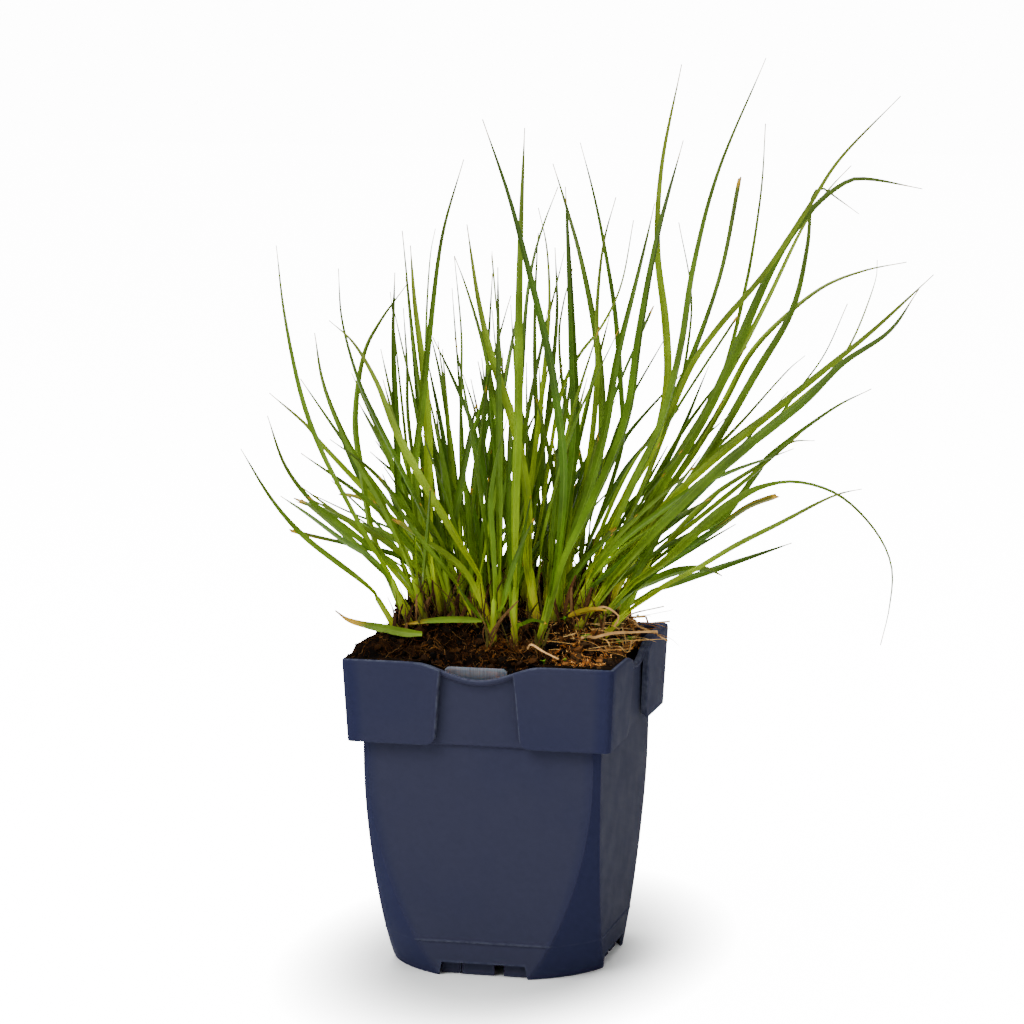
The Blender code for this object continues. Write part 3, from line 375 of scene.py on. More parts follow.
def outline(half, radius, shares, corner_points):
    """A square with its corners cut off by a circle round the axis, anticlockwise, as points with how far
    each lies round a corner: 0 on a flat side."""
    reach = min(half - 0.4, math.sqrt(max(1.0, radius * radius - half * half)))
    corner_radius = math.hypot(half, reach)
    swing = math.atan2(reach, half)
    places = [(half, reach * share, smooth_step(0.9, 1.0, abs(share)) * 0.5) for share in shares]
    for k in range(1, corner_points + 1):
        angle = mix(swing, math.radians(90.0) - swing, k / (corner_points + 1))
        places.append((corner_radius * math.cos(angle), corner_radius * math.sin(angle), 1.0))
    return [(*turned(x, y, turn), corner) for turn in QUARTERS for x, y, corner in places]


def soil_half(height):
    """Half the soil's width between the flat walls, clear of them by the gap."""
    return body_half(height) - WALL - GAP - SOIL_SLACK


def soil_round(height):
    """The radius that cuts off the soil's corners."""
    return barrel_radius(height) - WALL - GAP - SOIL_SLACK


def soil_height(x, y):
    """The soil rises from the rim to a crown of roots that is highest behind the middle."""
    depth = x * AWAY.x + y * AWAY.y
    across = x * ACROSS.x + y * ACROSS.y
    crown = mix(CROWN_FRONT, CROWN_MIDDLE, smooth_step(-55.0, 2.0, depth))
    crown += CROWN_RISE * smooth_step(0.0, 42.0, depth)
    crown -= LEFT_FALL * smooth_step(-12.0, -45.0, across) * smooth_step(0.0, 40.0, depth)
    crown -= BACK_FALL * smooth_step(44.0, 62.0, depth)
    crown -= RIGHT_FALL * smooth_step(30.0, 62.0, across) * smooth_step(30.0, -30.0, depth)
    crown += SOIL_WAVE * math.sin(0.21 * x + 1.0) * math.cos(0.17 * y)
    crown += MOUND_RISE * math.exp(-((x - MOUND_X) ** 2 + (y - MOUND_Y) ** 2) / (2.0 * MOUND_SPREAD ** 2))
    inset = SOIL_HALF_TOP - max(abs(x), abs(y))
    edge = mix(SOIL_DIP_EDGE, SOIL_EDGE, smooth_step(10.0, 26.0, min(abs(x), abs(y))))
    edge = mix(edge, SOIL_LEFT_EDGE, smooth_step(-30.0, -50.0, x))
    edge = mix(edge, SOIL_LOW_CORNER, smooth_step(70.0, 105.0, x + y))
    slope = mix(17.0, 9.0, smooth_step(-30.0, -50.0, x))
    return mix(edge, crown, smooth_step(0.0, slope, inset))


# Making meshes and materials

SHARP_ANGLE = math.radians(40.0)
PLAIN = (0.0, 0.0, 0.0, 1.0)


class Skin:
    """Points, faces and colours gathered for one mesh."""

    def __init__(self):
        self.points = []
        self.faces = []
        self.colours = []

    def loop(self, points, colours=None):
        first = len(self.points)
        self.points.extend(points)
        self.colours.extend(colours or [PLAIN] * len(points))
        return list(range(first, first + len(points)))

    def bridge(self, lower, upper):
        count = len(lower)
        for i in range(count):
            j = (i + 1) % count
            self.faces.append((lower[i], lower[j], upper[j], upper[i]))

    def tube(self, rings, colours):
        """A closed skin through rings of points, capped at both ends and facing out."""
        travel = sum(rings[1], Vector()) / len(rings[1]) - sum(rings[0], Vector()) / len(rings[0])
        spin = sum((point.cross(rings[1][i - 1]) for i, point in enumerate(rings[1])), Vector())
        if spin.dot(travel) > 0.0:
            rings = [points[::-1] for points in rings]
            colours = [shades[::-1] for shades in colours]
        self.close([self.loop(points, colour) for points, colour in zip(rings, colours)])

    def plain_tube(self, rings, colour=PLAIN):
        self.tube(rings, [[colour] * len(rings[0])] * len(rings))

    def close(self, rows):
        """Bridge loops in turn and cap the first and the last."""
        for lower, upper in zip(rows, rows[1:]):
            self.bridge(lower, upper)
        self.faces.append(tuple(reversed(rows[0])))
        self.faces.append(tuple(rows[-1]))

    def piece(self, name, material, sharp=SHARP_ANGLE):
        """A finished piece, in metres round the pot's axis, shaded smooth up to an angle."""
        mesh = bpy.data.meshes.new(name)
        mesh.from_pydata([AXIS + Vector(point) * MM for point in self.points], [], self.faces)
        layer = mesh.color_attributes.new("growth", "FLOAT_COLOR", "POINT")
        layer.data.foreach_set("color", [value for colour in self.colours for value in colour])
        mesh.materials.append(material)
        mesh.polygons.foreach_set("use_smooth", [True] * len(mesh.polygons))
        mesh.set_sharp_from_angle(angle=sharp)
        piece = bpy.data.objects.new(name, mesh)
        bpy.context.scene.collection.objects.link(piece)
        return piece


class Nodes:
    """Adds nodes to the node tree of a material or a world, and joins them up."""

    def __init__(self, owner):
        owner.use_nodes = True
        self.nodes = owner.node_tree.nodes
        self.links = owner.node_tree.links

    def feed(self, socket, value):
        if isinstance(value, bpy.types.NodeSocket):
            self.links.new(value, socket)
        else:
            socket.default_value = value

    def node(self, kind, values, **settings):
        node = self.nodes.new(kind)
        for key, value in settings.items():
            setattr(node, key, value)
        for key, value in values.items():
            self.feed(node.inputs[key], value)
        return node

    def span(self, value, low, high, new_low=0.0, new_high=1.0):
        values = {"Value": value, "From Min": low, "From Max": high, "To Min": new_low, "To Max": new_high}
        return self.node("ShaderNodeMapRange", values).outputs["Result"]


class Paint(Nodes):
    """A material in the making, round its one shader."""

    def __init__(self, name, roughness):
        self.material = bpy.data.materials.new(name)
        super().__init__(self.material)
        self.shader = self.nodes["Principled BSDF"]
        self.set("Roughness", roughness)

    def set(self, name, value):
        self.feed(self.shader.inputs[name], value)

    def here(self):
        return self.node("ShaderNodeTexCoord", {}).outputs["Object"]

    def growth(self):
        return self.node("ShaderNodeAttribute", {}, attribute_name="growth")

    def stretched(self, vector, scale):
        return self.node("ShaderNodeMapping", {"Vector": vector, "Scale": scale}).outputs["Vector"]

    def noise(self, vector, scale, detail=3.0, rough=0.55):
        values = {"Vector": vector, "Scale": scale, "Detail": detail, "Roughness": rough}
        return self.node("ShaderNodeTexNoise", values).outputs["Fac"]

    def sum(self, first, second, operation="ADD"):
        return self.node("ShaderNodeMath", {0: first, 1: second}, operation=operation).outputs[0]

    def product(self, first, second):
        return self.sum(first, second, "MULTIPLY")

    def brighter(self, colour, value):
        values = {"Color": colour, "Value": value}
        return self.node("ShaderNodeHueSaturation", values).outputs["Color"]

    def parts(self, colour):
        return self.node("ShaderNodeSeparateColor", {"Color": colour}).outputs

    def ramp(self, value, stops):
        node = self.node("ShaderNodeValToRGB", {"Fac": value})
        elements = node.color_ramp.elements
        while len(elements) < len(stops):
            elements.new(0.5)
        for element, (place, colour) in zip(elements, stops):
            element.position = place
            element.color = (*colour, 1.0)
        return node.outputs["Color"]

    def blend(self, share, first, second, kind="MIX"):
        node = self.node("ShaderNodeMix", {}, data_type="RGBA", blend_type=kind)
        self.feed(node.inputs["Factor"], share)
        for key, value in (("A", first), ("B", second)):
            socket = [s for s in node.inputs if s.name == key and s.type == "RGBA"][0]
            self.feed(socket, (*value, 1.0) if isinstance(value, tuple) and len(value) == 3 else value)
        return [s for s in node.outputs if s.type == "RGBA"][0]

    def bump(self, height, strength, distance):
        values = {"Height": height, "Strength": strength, "Distance": distance}
        self.set("Normal", self.node("ShaderNodeBump", values).outputs["Normal"])


# Pot

POT_SIDE_SHARES = (-1.0, -0.985, -0.96, *(k / 20.0 for k in range(-18, 19)), 0.96, 0.985, 1.0)
POT_CORNER_POINTS = 12
LIP_PROFILE = ((0.0, -3.1), (0.5, -2.9), (1.25, -2.3), (1.6, -1.5), (1.6, -0.8), (1.25, -0.2), (0.6, 0.0),
               (-0.1, -0.2), (-0.7, -0.8), (-1.1, -1.8), (-1.3, -5.0))
FOOT_PANELS = ((-21.5, -12.0, 4.6), (-11.2, 4.6, 3.6), (9.4, 21.0, 3.6))
LIP_REACH = 1.6
POT_SHARP_ANGLE = math.radians(32.0)
BULGE = 2.3
DIP_LIP = 1.5
RETURN_RIB = 1.8
BODY_HEIGHTS = (BAND_HEIGHT + 0.9, 22.0, *(10.0 * k for k in range(3, 11)), 108.0, 113.0, FLAP_FOOT - 0.6)


def rim_drop(x, y):
    """How far the rim dips: a wide arc, deepest in the middle of each side."""
    return RIM_DROP * math.cos(0.5 * math.pi * min(1.0, min(abs(x), abs(y)) / DIP_REACH)) ** 2


def bulge(height):
    """How far the wall swells past its plain form: most at the foot, nothing under the collar."""
    return BULGE * (1.0 - min(1.0, height / FLAP_FOOT) ** 3)


def pot_loop(skin, half, radius, height, dipped=0.0, step=0.0, edge_highlight=0.0, lip=0.0):
    """One loop round the pot; step widens the flat sides only, dipped follows the rim, and the edge highlight
    share paints the loop paler, a painted highlight.
    """
    points = []
    colours = []
    for x, y, corner in outline(half, radius, POT_SIDE_SHARES, POT_CORNER_POINTS):
        wider = 1.0 + (step * (1.0 - corner) + lip * rim_drop(x, y) / RIM_DROP) / half
        drop = dipped * rim_drop(x, y)
        wave = 0.12 * noise.noise(Vector((x, y, height)) * 0.03)
        points.append(Vector((x * (wider + wave / half), y * (wider + wave / half), height - drop)))
        # First channel: the corner share, which sets the painted reflection. Second channel: the painted
        # highlight, weaker round the corners.
        colours.append((corner, edge_highlight * (1.0 - 0.8 * corner), 0.0, 1.0))
    return skin.loop(points, colours)


def body_loop(skin, out, height, step=0.0, edge_highlight=0.0):
    """One loop round the body, out from its wall's face."""
    swell = bulge(height) + out
    half = body_half(height) + swell
    return pot_loop(skin, half, barrel_radius(height) + swell, height, step=step, edge_highlight=edge_highlight)


def pot_wall(skin):
    """The body, the collar, the rim with its lips, and the inside down to the floor."""
    wide = COLLAR_RADIUS
    foot = ((-WALL - 1.0, FLOOR_UNDER), (-WALL, 0.4), (0.3 - WALL, 0.0), (-0.5, 0.0), (-0.1, 0.3))
    rows = [body_loop(skin, out, height) for out, height in foot]
    for height in (1.0, 4.0, 8.0, 12.0, BAND_HEIGHT - 0.6):
        rows.append(body_loop(skin, 0.0, height, step=-0.1))
    # A painted highlight along the band's step edge.
    for height in (BAND_HEIGHT - 0.1, BAND_HEIGHT + 0.25):
        rows.append(body_loop(skin, 0.0, height, step=BAND_STEP * 1.4, edge_highlight=0.7))
    rows += [body_loop(skin, 0.0, height) for height in BODY_HEIGHTS]
    rows.append(pot_loop(skin, COLLAR_FOOT_HALF - 0.5, wide, FLAP_FOOT - 0.2))
    rows.append(pot_loop(skin, COLLAR_FOOT_HALF, wide, FLAP_FOOT + 0.3))
    for share in (0.25, 0.5, 0.75):
        half = mix(COLLAR_FOOT_HALF, COLLAR_TOP_HALF, share)
        rows.append(pot_loop(skin, half, wide, mix(FLAP_FOOT, RIM_TOP - 6.0, share), dipped=share * 0.4))
    # The lip's top edge gets a painted highlight.
    for out, low in LIP_PROFILE:
        rows.append(pot_loop(skin, COLLAR_TOP_HALF + out, wide, RIM_TOP + low, dipped=1.0,
                             edge_highlight=float(low > -0.6), lip=DIP_LIP * max(0.0, out) / LIP_REACH))
    rows.append(pot_loop(skin, COLLAR_FOOT_HALF - WALL, wide, FLAP_FOOT + 6.0))
    rows += [body_loop(skin, -WALL, height) for height in (FLAP_FOOT - 2.0, 60.0, FLOOR_TOP)]
    skin.close(rows)


def flap_place(along, half, end, corner):
    """Where a point lies that is a share along the flap: 0 to 1 on one side, 1 to 2 round, 2 to 3 back."""
    if along <= 1.0:
        return mix(end, half - corner, along), half
    if along >= 2.0:
        return half, mix(half - corner, end, along - 2.0)
    angle = math.radians(90.0 * (2.0 - along))
    return half - corner + corner * math.cos(angle), half - corner + corner * math.sin(angle)


def flap_section(along):
    """The closed outline of the flap at one place along it, as (inset, height), from the foot up."""
    from_end = min(along, 3.0 - along) * (RIM_HALF - FLAP_END_FOOT)
    rounding = 0.0
    if from_end < FLAP_ROUNDING:
        rounding = FLAP_ROUNDING - math.sqrt(FLAP_ROUNDING ** 2 - (FLAP_ROUNDING - from_end) ** 2)
    edge = 0.4 * (1.0 - smooth_step(0.0, 0.5, from_end))
    low = FLAP_FOOT + rounding
    rib = FLAP_SHEET + RETURN_RIB * (1.0 - smooth_step(0.4, 1.2, from_end))
    levels = [mix(low + 0.6, RIM_TOP - 2.2, k / 7.0) for k in range(8)]
    outer = [(0.35 + edge, low), (0.08 + edge, low + 0.2)] + [(edge, level) for level in levels]
    outer += [(0.15 + edge, RIM_TOP - 0.8), (0.5 + edge, RIM_TOP - 0.2), (1.0, RIM_TOP)]
    flange = [(3.4, RIM_TOP), (4.4, RIM_TOP - 0.4), (4.6, RIM_TOP - 1.4), (rib + 0.1, RIM_TOP - 1.6)]
    inner = [(rib, level) for level in reversed(levels)] + [(rib - 0.2, low)]
    return outer + flange + inner


def build_flap(skin, turn):
    """An L-shaped sheet with rounded lower ends that hangs from the rim round one corner."""
    near = [0.0, 0.008, 0.02, 0.04, 0.07, 0.1, 0.14, 0.2, 0.3, 0.42, 0.55, 0.7, 0.85, 0.96]
    stations = near + [1.0 + k / 8.0 for k in range(9)] + [3.0 - share for share in reversed(near)]
    rings = []
    colours = []
    for along in stations:
        points = []
        edge_highlight = []
        for inset, height in flap_section(along):
            share = (height - FLAP_FOOT) / (RIM_TOP - FLAP_FOOT)
            half = mix(FLAP_FOOT_HALF, RIM_HALF, share) - inset
            end = mix(FLAP_END_FOOT, FLAP_END_TOP, share)
            x, y = flap_place(along, half, end, max(0.5, FLAP_CORNER - inset))
            drop = rim_drop(x, y) * smooth_step(RIM_TOP - 14.0, RIM_TOP - 2.0, height)
            points.append(Vector((*turned(x, y, turn), height - drop)))
            # Painted highlight on the flap's top, foot and end edges.
            edge_highlight.append(float(height > RIM_TOP - 0.6 or height < FLAP_FOOT + 0.1 or not 0.01 < along < 2.99))
        rings.append(points)
        # First channel: the painted reflection, full round the flap's corner and weaker on its sides. Second
        # channel: the painted highlight on its edges.
        colours.append([(1.0 if 0.9 < along < 2.1 else 0.3, share, 0.0, 1.0) for share in edge_highlight])
    skin.tube(rings, colours)


def add_box(skin, low, high, turn, slant=0.0):
    """A block turned round the axis, its upper corners drawn in sideways by slant."""
    corners = ((low[0], low[1]), (high[0], low[1]), (high[0], high[1]), (low[0], high[1]))
    rings = []
    for z, inward in ((low[2], 0.0), (high[2], slant)):
        rings.append([Vector((*turned(x, y - math.copysign(inward, y), turn), z)) for x, y in corners])
    skin.plain_tube(rings)


def select_only(piece, *others):
    """Select pieces, the first of them active."""
    bpy.ops.object.select_all(action="DESELECT")
    for other in (piece, *others):
        other.select_set(True)
    bpy.context.view_layer.objects.active = piece


def build_pot(values):
    """The wall with its notches cut out, then the flaps and the notches' panels joined on."""
    plastic = navy_plastic(values)
    wall = Skin()
    pot_wall(wall)
    pot = wall.piece("nursery_pot", plastic)
    cutters = Skin()
    extras = Skin()
    for turn in QUARTERS:
        add_box(cutters, (BODY_FOOT_HALF - 2.0, -NOTCH_HALF, -1.0),
                (BODY_FOOT_HALF + 5.0, NOTCH_HALF, NOTCH_TALL), turn, slant=1.5)
        build_flap(extras, turn)
        for left, right, back in FOOT_PANELS:
            face = BODY_FOOT_HALF + BULGE - back
            add_box(extras, (face - WALL, left, 0.4), (face, right, FLOOR_UNDER + 0.5), turn)
    cutter = cutters.piece("notch_cutter", plastic)
    select_only(pot)
    notches = pot.modifiers.new("notches", "BOOLEAN")
    notches.operation = "DIFFERENCE"
    notches.solver = "EXACT"
    notches.object = cutter
    bpy.ops.object.modifier_apply(modifier=notches.name)
    bpy.data.objects.remove(cutter, do_unlink=True)
    select_only(pot, extras.piece("pot_flaps", plastic))
    bpy.ops.object.join()
    pot.name = "nursery_pot"
    pot.data.set_sharp_from_angle(angle=POT_SHARP_ANGLE)
    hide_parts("pot")
    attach(pot, BODY)


# Clip behind the front dip of the rim

def build_clip():
    """A frosted strip with rounded ends, a thick upper edge and fine teeth along its face."""
    skin = Skin()
    front = -(COLLAR_TOP_HALF - 1.6)
    half = CLIP_WIDE / 2.0
    low = CLIP_FOOT - 1.4
    rings = []
    for k in range(CLIP_STEPS + 1):
        x = mix(-half, half, k / CLIP_STEPS)
        round_off = 1.4 * max(0.0, (abs(x) - half + CLIP_ROUNDING) / CLIP_ROUNDING) ** 2.2
        top = CLIP_TOP - 0.1 - round_off
        tooth = 0.12 if k % 4 == 0 else 0.0
        groove = 0.16 if k % 20 == 10 else 0.0
        face = -tooth - groove
        section = ((0.1, low), (face, low + 0.2), (face, top - 1.6), (-0.22, top - 1.3), (-0.28, top - 0.5),
                   (-0.1, top - 0.08), (0.3, top), (0.85, top - 0.12), (1.0, top - 0.5), (1.0, low))
        rings.append([Vector((CLIP_CENTRE + x, front + CLIP_THICK * depth, z)) for depth, z in section])
    skin.plain_tube(rings)
    clip = skin.piece("rim_clip", frosted_plastic())
    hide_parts("label_clip")
    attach(clip, BODY)


# Soil

LEDGE = 6.2
LEFT_RIM = -50.0
LEFT_COVER = 0.45
SOIL_HEAP = 4.5
LUMPS = 2.3
GRAINS = 1.3
PITS = 7.5
SOIL_SHARP_ANGLE = math.radians(75.0)
NO_ROUNDING = 200.0
ROOT_STEPS = 7
LITTER_SEED = 7


def rim_cover(x, y):
    """How far the soil spreads over the rim's ledge: all round but for the dips and the back right."""
    cover = smooth_step(22.0, 31.0, min(abs(x), abs(y)))
    if x < LEFT_RIM:
        cover = max(cover, LEFT_COVER)
    return cover * (1.0 - smooth_step(45.0, 85.0, x + y))


def spread_out(x, y):
    """A place on the soil's top, pushed outwards where the soil lies on the rim's ledge."""
    cover = rim_cover(x, y)
    return tuple(place + math.copysign(LEDGE * cover * smooth_step(50.0, SOIL_HALF_TOP, abs(place)), place)
                 for place in (x, y))


def heap_height(x, y):
    """Soil heaped on the rim at the left."""
    heap = SOIL_HEAP * smooth_step(-38.0, -58.0, x) * smooth_step(-64.0, -50.0, y) * smooth_step(50.0, 0.0, y)
    return heap * smooth_step(SOIL_HALF_TOP + LEDGE, SOIL_HALF_TOP + LEDGE - 2.2, abs(x))


def soil_surface(x, y):
    """The crumbled top of the soil: lumps, smaller clods and grains on the even height."""
    spot = Vector((x, y, 0.0))
    lumps = noise.fractal(spot * 0.09, 0.8, 2.1, 4)
    grains = noise.fractal(spot * 0.45 + Vector((7.0, 3.0, 1.0)), 0.6, 2.0, 3)
    reach = max(abs(x), abs(y))
    calm = smooth_step(0.0, 5.0, SOIL_HALF_TOP - reach)
    pits = min(0.0, noise.noise(spot * 0.22 + Vector((1.0, 8.0, 2.0))) + 0.1)
    top = soil_height(x, y) + heap_height(x, y) + calm * (LUMPS * lumps + GRAINS * grains + PITS * pits) - 0.3
    if reach > COLLAR_FOOT_HALF - WALL:
        top = max(top + 0.6 * grains, RIM_TOP + 0.35 + 0.3 * grains)
    return top


def side_reach(point):
    """How far a point lies from the axis, towards the nearest side of the pot."""
    return max(abs(point.x), abs(point.y))


def inside_wall(x, y, half, radius):
    """The point on the wall's inside in the direction of (x, y)."""
    scale = half / max(abs(x), abs(y))
    reach = math.hypot(x * scale, y * scale)
    if reach > radius:
        scale *= radius / reach
    return x * scale, y * scale


def build_soil(values):
    """The whole block: a fine square grid on top, walls that follow the pot, and the bottom."""
    skin = Skin()
    count = values.grid
    step = 2.0 * SOIL_HALF_TOP / count
    grid = []
    for row in range(count + 1):
        line = []
        for column in range(count + 1):
            x, y = spread_out(-SOIL_HALF_TOP + column * step, -SOIL_HALF_TOP + row * step)
            jitter = Vector((x, y, 5.0)) * 1.7
            inner = 0 < row < count and 0 < column < count
            dx = 0.35 * noise.noise(jitter) if inner else 0.0
            dy = 0.35 * noise.noise(jitter + Vector((9.0, 2.0, 4.0))) if inner else 0.0
            line.append(Vector((x + dx, y + dy, soil_surface(x, y))))
        grid.append(skin.loop(line))
    for lower, upper in zip(grid, grid[1:]):
        for i in range(count):
            skin.faces.append((lower[i], lower[i + 1], upper[i + 1], upper[i]))
    rim = [grid[0][i] for i in range(count)] + [line[count] for line in grid[:count]]
    rim += [grid[count][i] for i in range(count, 0, -1)] + [line[0] for line in reversed(grid[1:])]
    corners = [skin.points[i].copy() for i in rim]
    edge = skin.loop([Vector((point.x, point.y, point.z - 0.2)) for point in corners])
    skin.bridge(edge, rim)
    tucked = [inside_wall(point.x, point.y, min(SOIL_HALF_TOP, side_reach(point)), NO_ROUNDING)
              for point in corners]
    above = skin.loop([Vector((x, y, point.z - 0.4)) for (x, y), point in zip(tucked, corners)])
    skin.bridge(above, edge)
    for height in (SOIL_WALL_HEIGHT - 12.0, FLAP_FOOT - 3.0, 60.0, FLOOR_TOP + GAP):
        half = min(SOIL_HALF_TOP, soil_half(height))
        radius = BARREL_TOP if height > FLAP_FOOT else soil_round(height)
        places = [inside_wall(point.x, point.y, half, radius) for point in corners]
        below = skin.loop([Vector((x, y, height)) for x, y in places])
        skin.bridge(below, above)
        above = below
    skin.faces.append(tuple(reversed(above)))
    soil = skin.piece("potting_soil", peat(values), SOIL_SHARP_ANGLE)
    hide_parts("soil")
    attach(soil, BODY)


def random_spot(chance, margin=1.0):
    """A place on the soil."""
    reach = SOIL_HALF_TOP - margin
    x, y = spread_out(chance.uniform(-reach, reach), chance.uniform(-reach, reach))
    return Vector((x, y, soil_surface(x, y)))


def ball_shape():
    """The points and faces of a small ball with twenty faces."""
    shape = bmesh.new()
    bmesh.ops.create_icosphere(shape, subdivisions=1, radius=1.0)
    points = [vert.co.copy() for vert in shape.verts]
    faces = [tuple(vert.index for vert in face.verts) for face in shape.faces]
    shape.free()
    return points, faces


def any_turn(chance):
    """A direction round the upright, as an angle."""
    return chance.uniform(0.0, 6.28)


def add_clod(skin, ball, spot, size, flat, chance, colour):
    """A crumb: a ball squashed and dented at random."""
    points, faces = ball
    turn = Matrix.Rotation(any_turn(chance), 3, Vector((chance.random(), chance.random(), 1.0)).normalized())
    first = len(skin.points)
    for point in points:
        swollen = point * size * chance.uniform(0.7, 1.25)
        swollen.z *= flat
        skin.points.append(spot + turn @ swollen)
        skin.colours.append(colour)
    skin.faces.extend(tuple(first + index for index in face) for face in faces)


def add_fibre(skin, path, width, colour, flat=0.6, sides=3):
    """A thin root or fibre along a path, thinner at both ends."""
    rings = []
    steps = len(path) - 1
    for k, point in enumerate(path):
        along = heading(path, k)
        side = along.cross(Vector((0.3, 0.2, 1.0))).normalized()
        lift = side.cross(along)
        radius = 0.5 * width * mix(1.0, 0.45, abs(2.0 * k / steps - 1.0) ** 2)
        rings.append([point + side * math.cos(angle) * radius + lift * math.sin(angle) * radius * flat
                      for angle in (FULL_TURN * i / sides for i in range(sides))])
    skin.plain_tube(rings, colour)


FIBRE_COLOURS = ((0.15, 0.05, 0.007, 1.0), (0.24, 0.10, 0.02, 1.0), (0.05, 0.017, 0.004, 1.0),
                 (0.09, 0.026, 0.004, 1.0), (0.34, 0.17, 0.05, 1.0), (0.03, 0.012, 0.004, 1.0))
CRUMB_COLOURS = ((0.004, 0.002, 0.001, 1.0), (0.012, 0.006, 0.002, 1.0), (0.03, 0.012, 0.003, 1.0),
                 (0.0025, 0.0015, 0.001, 1.0), (0.06, 0.023, 0.005, 1.0))


def loose_path(chance, start, length, turn, bend, steps):
    """A wandering path that hugs the soil, now and then lifting off it."""
    points = [start]
    angle = turn
    height = 0.0
    step = length / steps
    limit = SOIL_HALF_TOP - 0.5
    for _ in range(steps):
        angle += chance.gauss(0.0, bend)
        height = max(-0.4, min(2.6, height + chance.gauss(0.05, 0.45)))
        x = max(-limit, min(limit, points[-1].x + math.cos(angle) * step))
        y = max(-limit, min(limit, points[-1].y + math.sin(angle) * step))
        points.append(Vector((x, y, soil_surface(x, y) + 0.3 + height)))
    return points


def shaded_by_place(colour, spot):
    """The soil's left part is darker than its middle, and bits at the right are paler."""
    share = mix(0.3, 0.52, smooth_step(-45.0, -8.0, spot.x)) + 2.8 * smooth_step(20.0, 50.0, spot.x)
    return (*(value * share for value in colour[:3]), 1.0)


def build_litter(values):
    """Crumbs, chips of bark, and fine roots on the soil: three pieces."""
    chance = random.Random(LITTER_SEED)
    ball = ball_shape()
    crumbs = Skin()
    for _ in range(values.crumbs):
        spot = random_spot(chance)
        size = 0.3 + 2.4 * chance.random() ** 5
        add_clod(crumbs, ball, spot + UP * (0.25 * size), size, chance.uniform(0.5, 0.95), chance,
                 shaded_by_place(chance.choice(CRUMB_COLOURS), spot))
    for _ in range(values.clods):
        spot = random_spot(chance, 5.0)
        size = chance.uniform(1.6, 3.8)
        add_clod(crumbs, ball, spot - UP * (0.2 * size), size, chance.uniform(0.5, 0.8), chance,
                 shaded_by_place(chance.choice(CRUMB_COLOURS[1:]), spot))
    chips = Skin()
    for _ in range(values.chips):
        spot = random_spot(chance, 3.0)
        half = chance.uniform(0.7, 2.8)
        angle = any_turn(chance)
        along = Vector((math.cos(angle), math.sin(angle), chance.uniform(-0.5, 0.6))) * half
        path = [spot - along, spot + UP * chance.uniform(-0.3, 0.5), spot + along]
        path = [point + UP * 0.6 for point in path]
        add_fibre(chips, path, chance.uniform(0.7, 1.8),
                  shaded_by_place(chance.choice(FIBRE_COLOURS[:4]), spot), flat=0.35, sides=5)
    fibres = Skin()
    for _ in range(values.fibres):
        spot = random_spot(chance)
        length = 2.5 + 20.0 * chance.random() ** 3
        path = loose_path(chance, spot, length, any_turn(chance), 0.35, ROOT_STEPS)
        add_fibre(fibres, path, chance.uniform(0.14, 0.42),
                  shaded_by_place(chance.choice(FIBRE_COLOURS), spot))
    for _ in range(values.tufts):
        heart = random_spot(chance, 4.0)
        turn = any_turn(chance)
        for _ in range(chance.randint(8, 18)):
            start = heart + Vector((chance.gauss(0.0, 1.6), chance.gauss(0.0, 1.6), 0.0))
            length = chance.uniform(5.0, 15.0)
            path = loose_path(chance, start, length, turn + chance.gauss(0.0, 0.6), 0.3, ROOT_STEPS)
            add_fibre(fibres, path, chance.uniform(0.12, 0.32),
                      shaded_by_place(chance.choice(FIBRE_COLOURS), start))
    for name, skin, kind in (("soil_crumbs", crumbs, "peat"), ("bark_chips", chips, "peat"),
                             ("fine_roots", fibres, "dry_straw")):
        piece = skin.piece(name, litter_paint(name))
        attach(piece, BODY)


# Drawing plane and lines of sight

def slid_back(across, height, depth):
    """The point seen at (across, height) on the drawing plane, at a depth behind that plane."""
    drawn = ACROSS * across + UP * height
    return VIEWER + (drawn - VIEWER) * (1.0 + depth / VIEWER_DISTANCE)


def soil_depth(across, height):
    """The depth at which the line of sight through a drawn point meets the soil."""
    depth = -SOIL_LIMIT
    while depth < SOIL_LIMIT:
        point = slid_back(across, height, depth)
        if point.z <= soil_height(point.x, point.y):
            return depth
        depth += 0.5
    return depth


def on_soil(across, height):
    """The point of the soil that is seen at (across, height)."""
    return slid_back(across, height, soil_depth(across, height))


def side_and_back(direction):
    """Two unit vectors square to a direction: one across the view, one along it."""
    side = AWAY.cross(direction).normalized()
    return side, direction.cross(side).normalized()


# Stems and blades

def smooth_path(points, count):
    """Points at even steps along a smooth curve through the given ones."""
    padded = [points[0] * 2.0 - points[1]] + list(points) + [points[-1] * 2.0 - points[-2]]
    fine = []
    for i in range(1, len(padded) - 2):
        before, start, end, after = padded[i - 1:i + 3]
        for k in range(8):
            t = k / 8.0
            fine.append(0.5 * ((2.0 * start) + (end - before) * t
                               + (2.0 * before - 5.0 * start + 4.0 * end - after) * t * t
                               + (3.0 * start - before - 3.0 * end + after) * t * t * t))
    fine.append(points[-1])
    lengths = [0.0]
    for near, far in zip(fine, fine[1:]):
        lengths.append(lengths[-1] + (far - near).length)
    path = []
    step = 0
    for k in range(count + 1):
        wanted = lengths[-1] * k / count
        while step < len(fine) - 2 and lengths[step + 1] < wanted:
            step += 1
        share = (wanted - lengths[step]) / max(1e-6, lengths[step + 1] - lengths[step])
        path.append(fine[step].lerp(fine[step + 1], min(1.0, share)))
    return path


def blade_width(share, width, end):
    """Full width to the middle, then a long taper."""
    taper = 1.0 if share < 0.5 else ((1.0 - share) / 0.5) ** 0.7
    if end == CUT:
        taper = max(CUT_WIDTH, taper)
    return max(LEAST_WIDTH, width * taper * mix(0.8, 1.0, smooth_step(0.0, 0.2, share)))


def heading(path, k):
    """The direction of a path at one of its points."""
    return (path[min(k + 1, len(path) - 1)] - path[max(k - 1, 0)]).normalized()


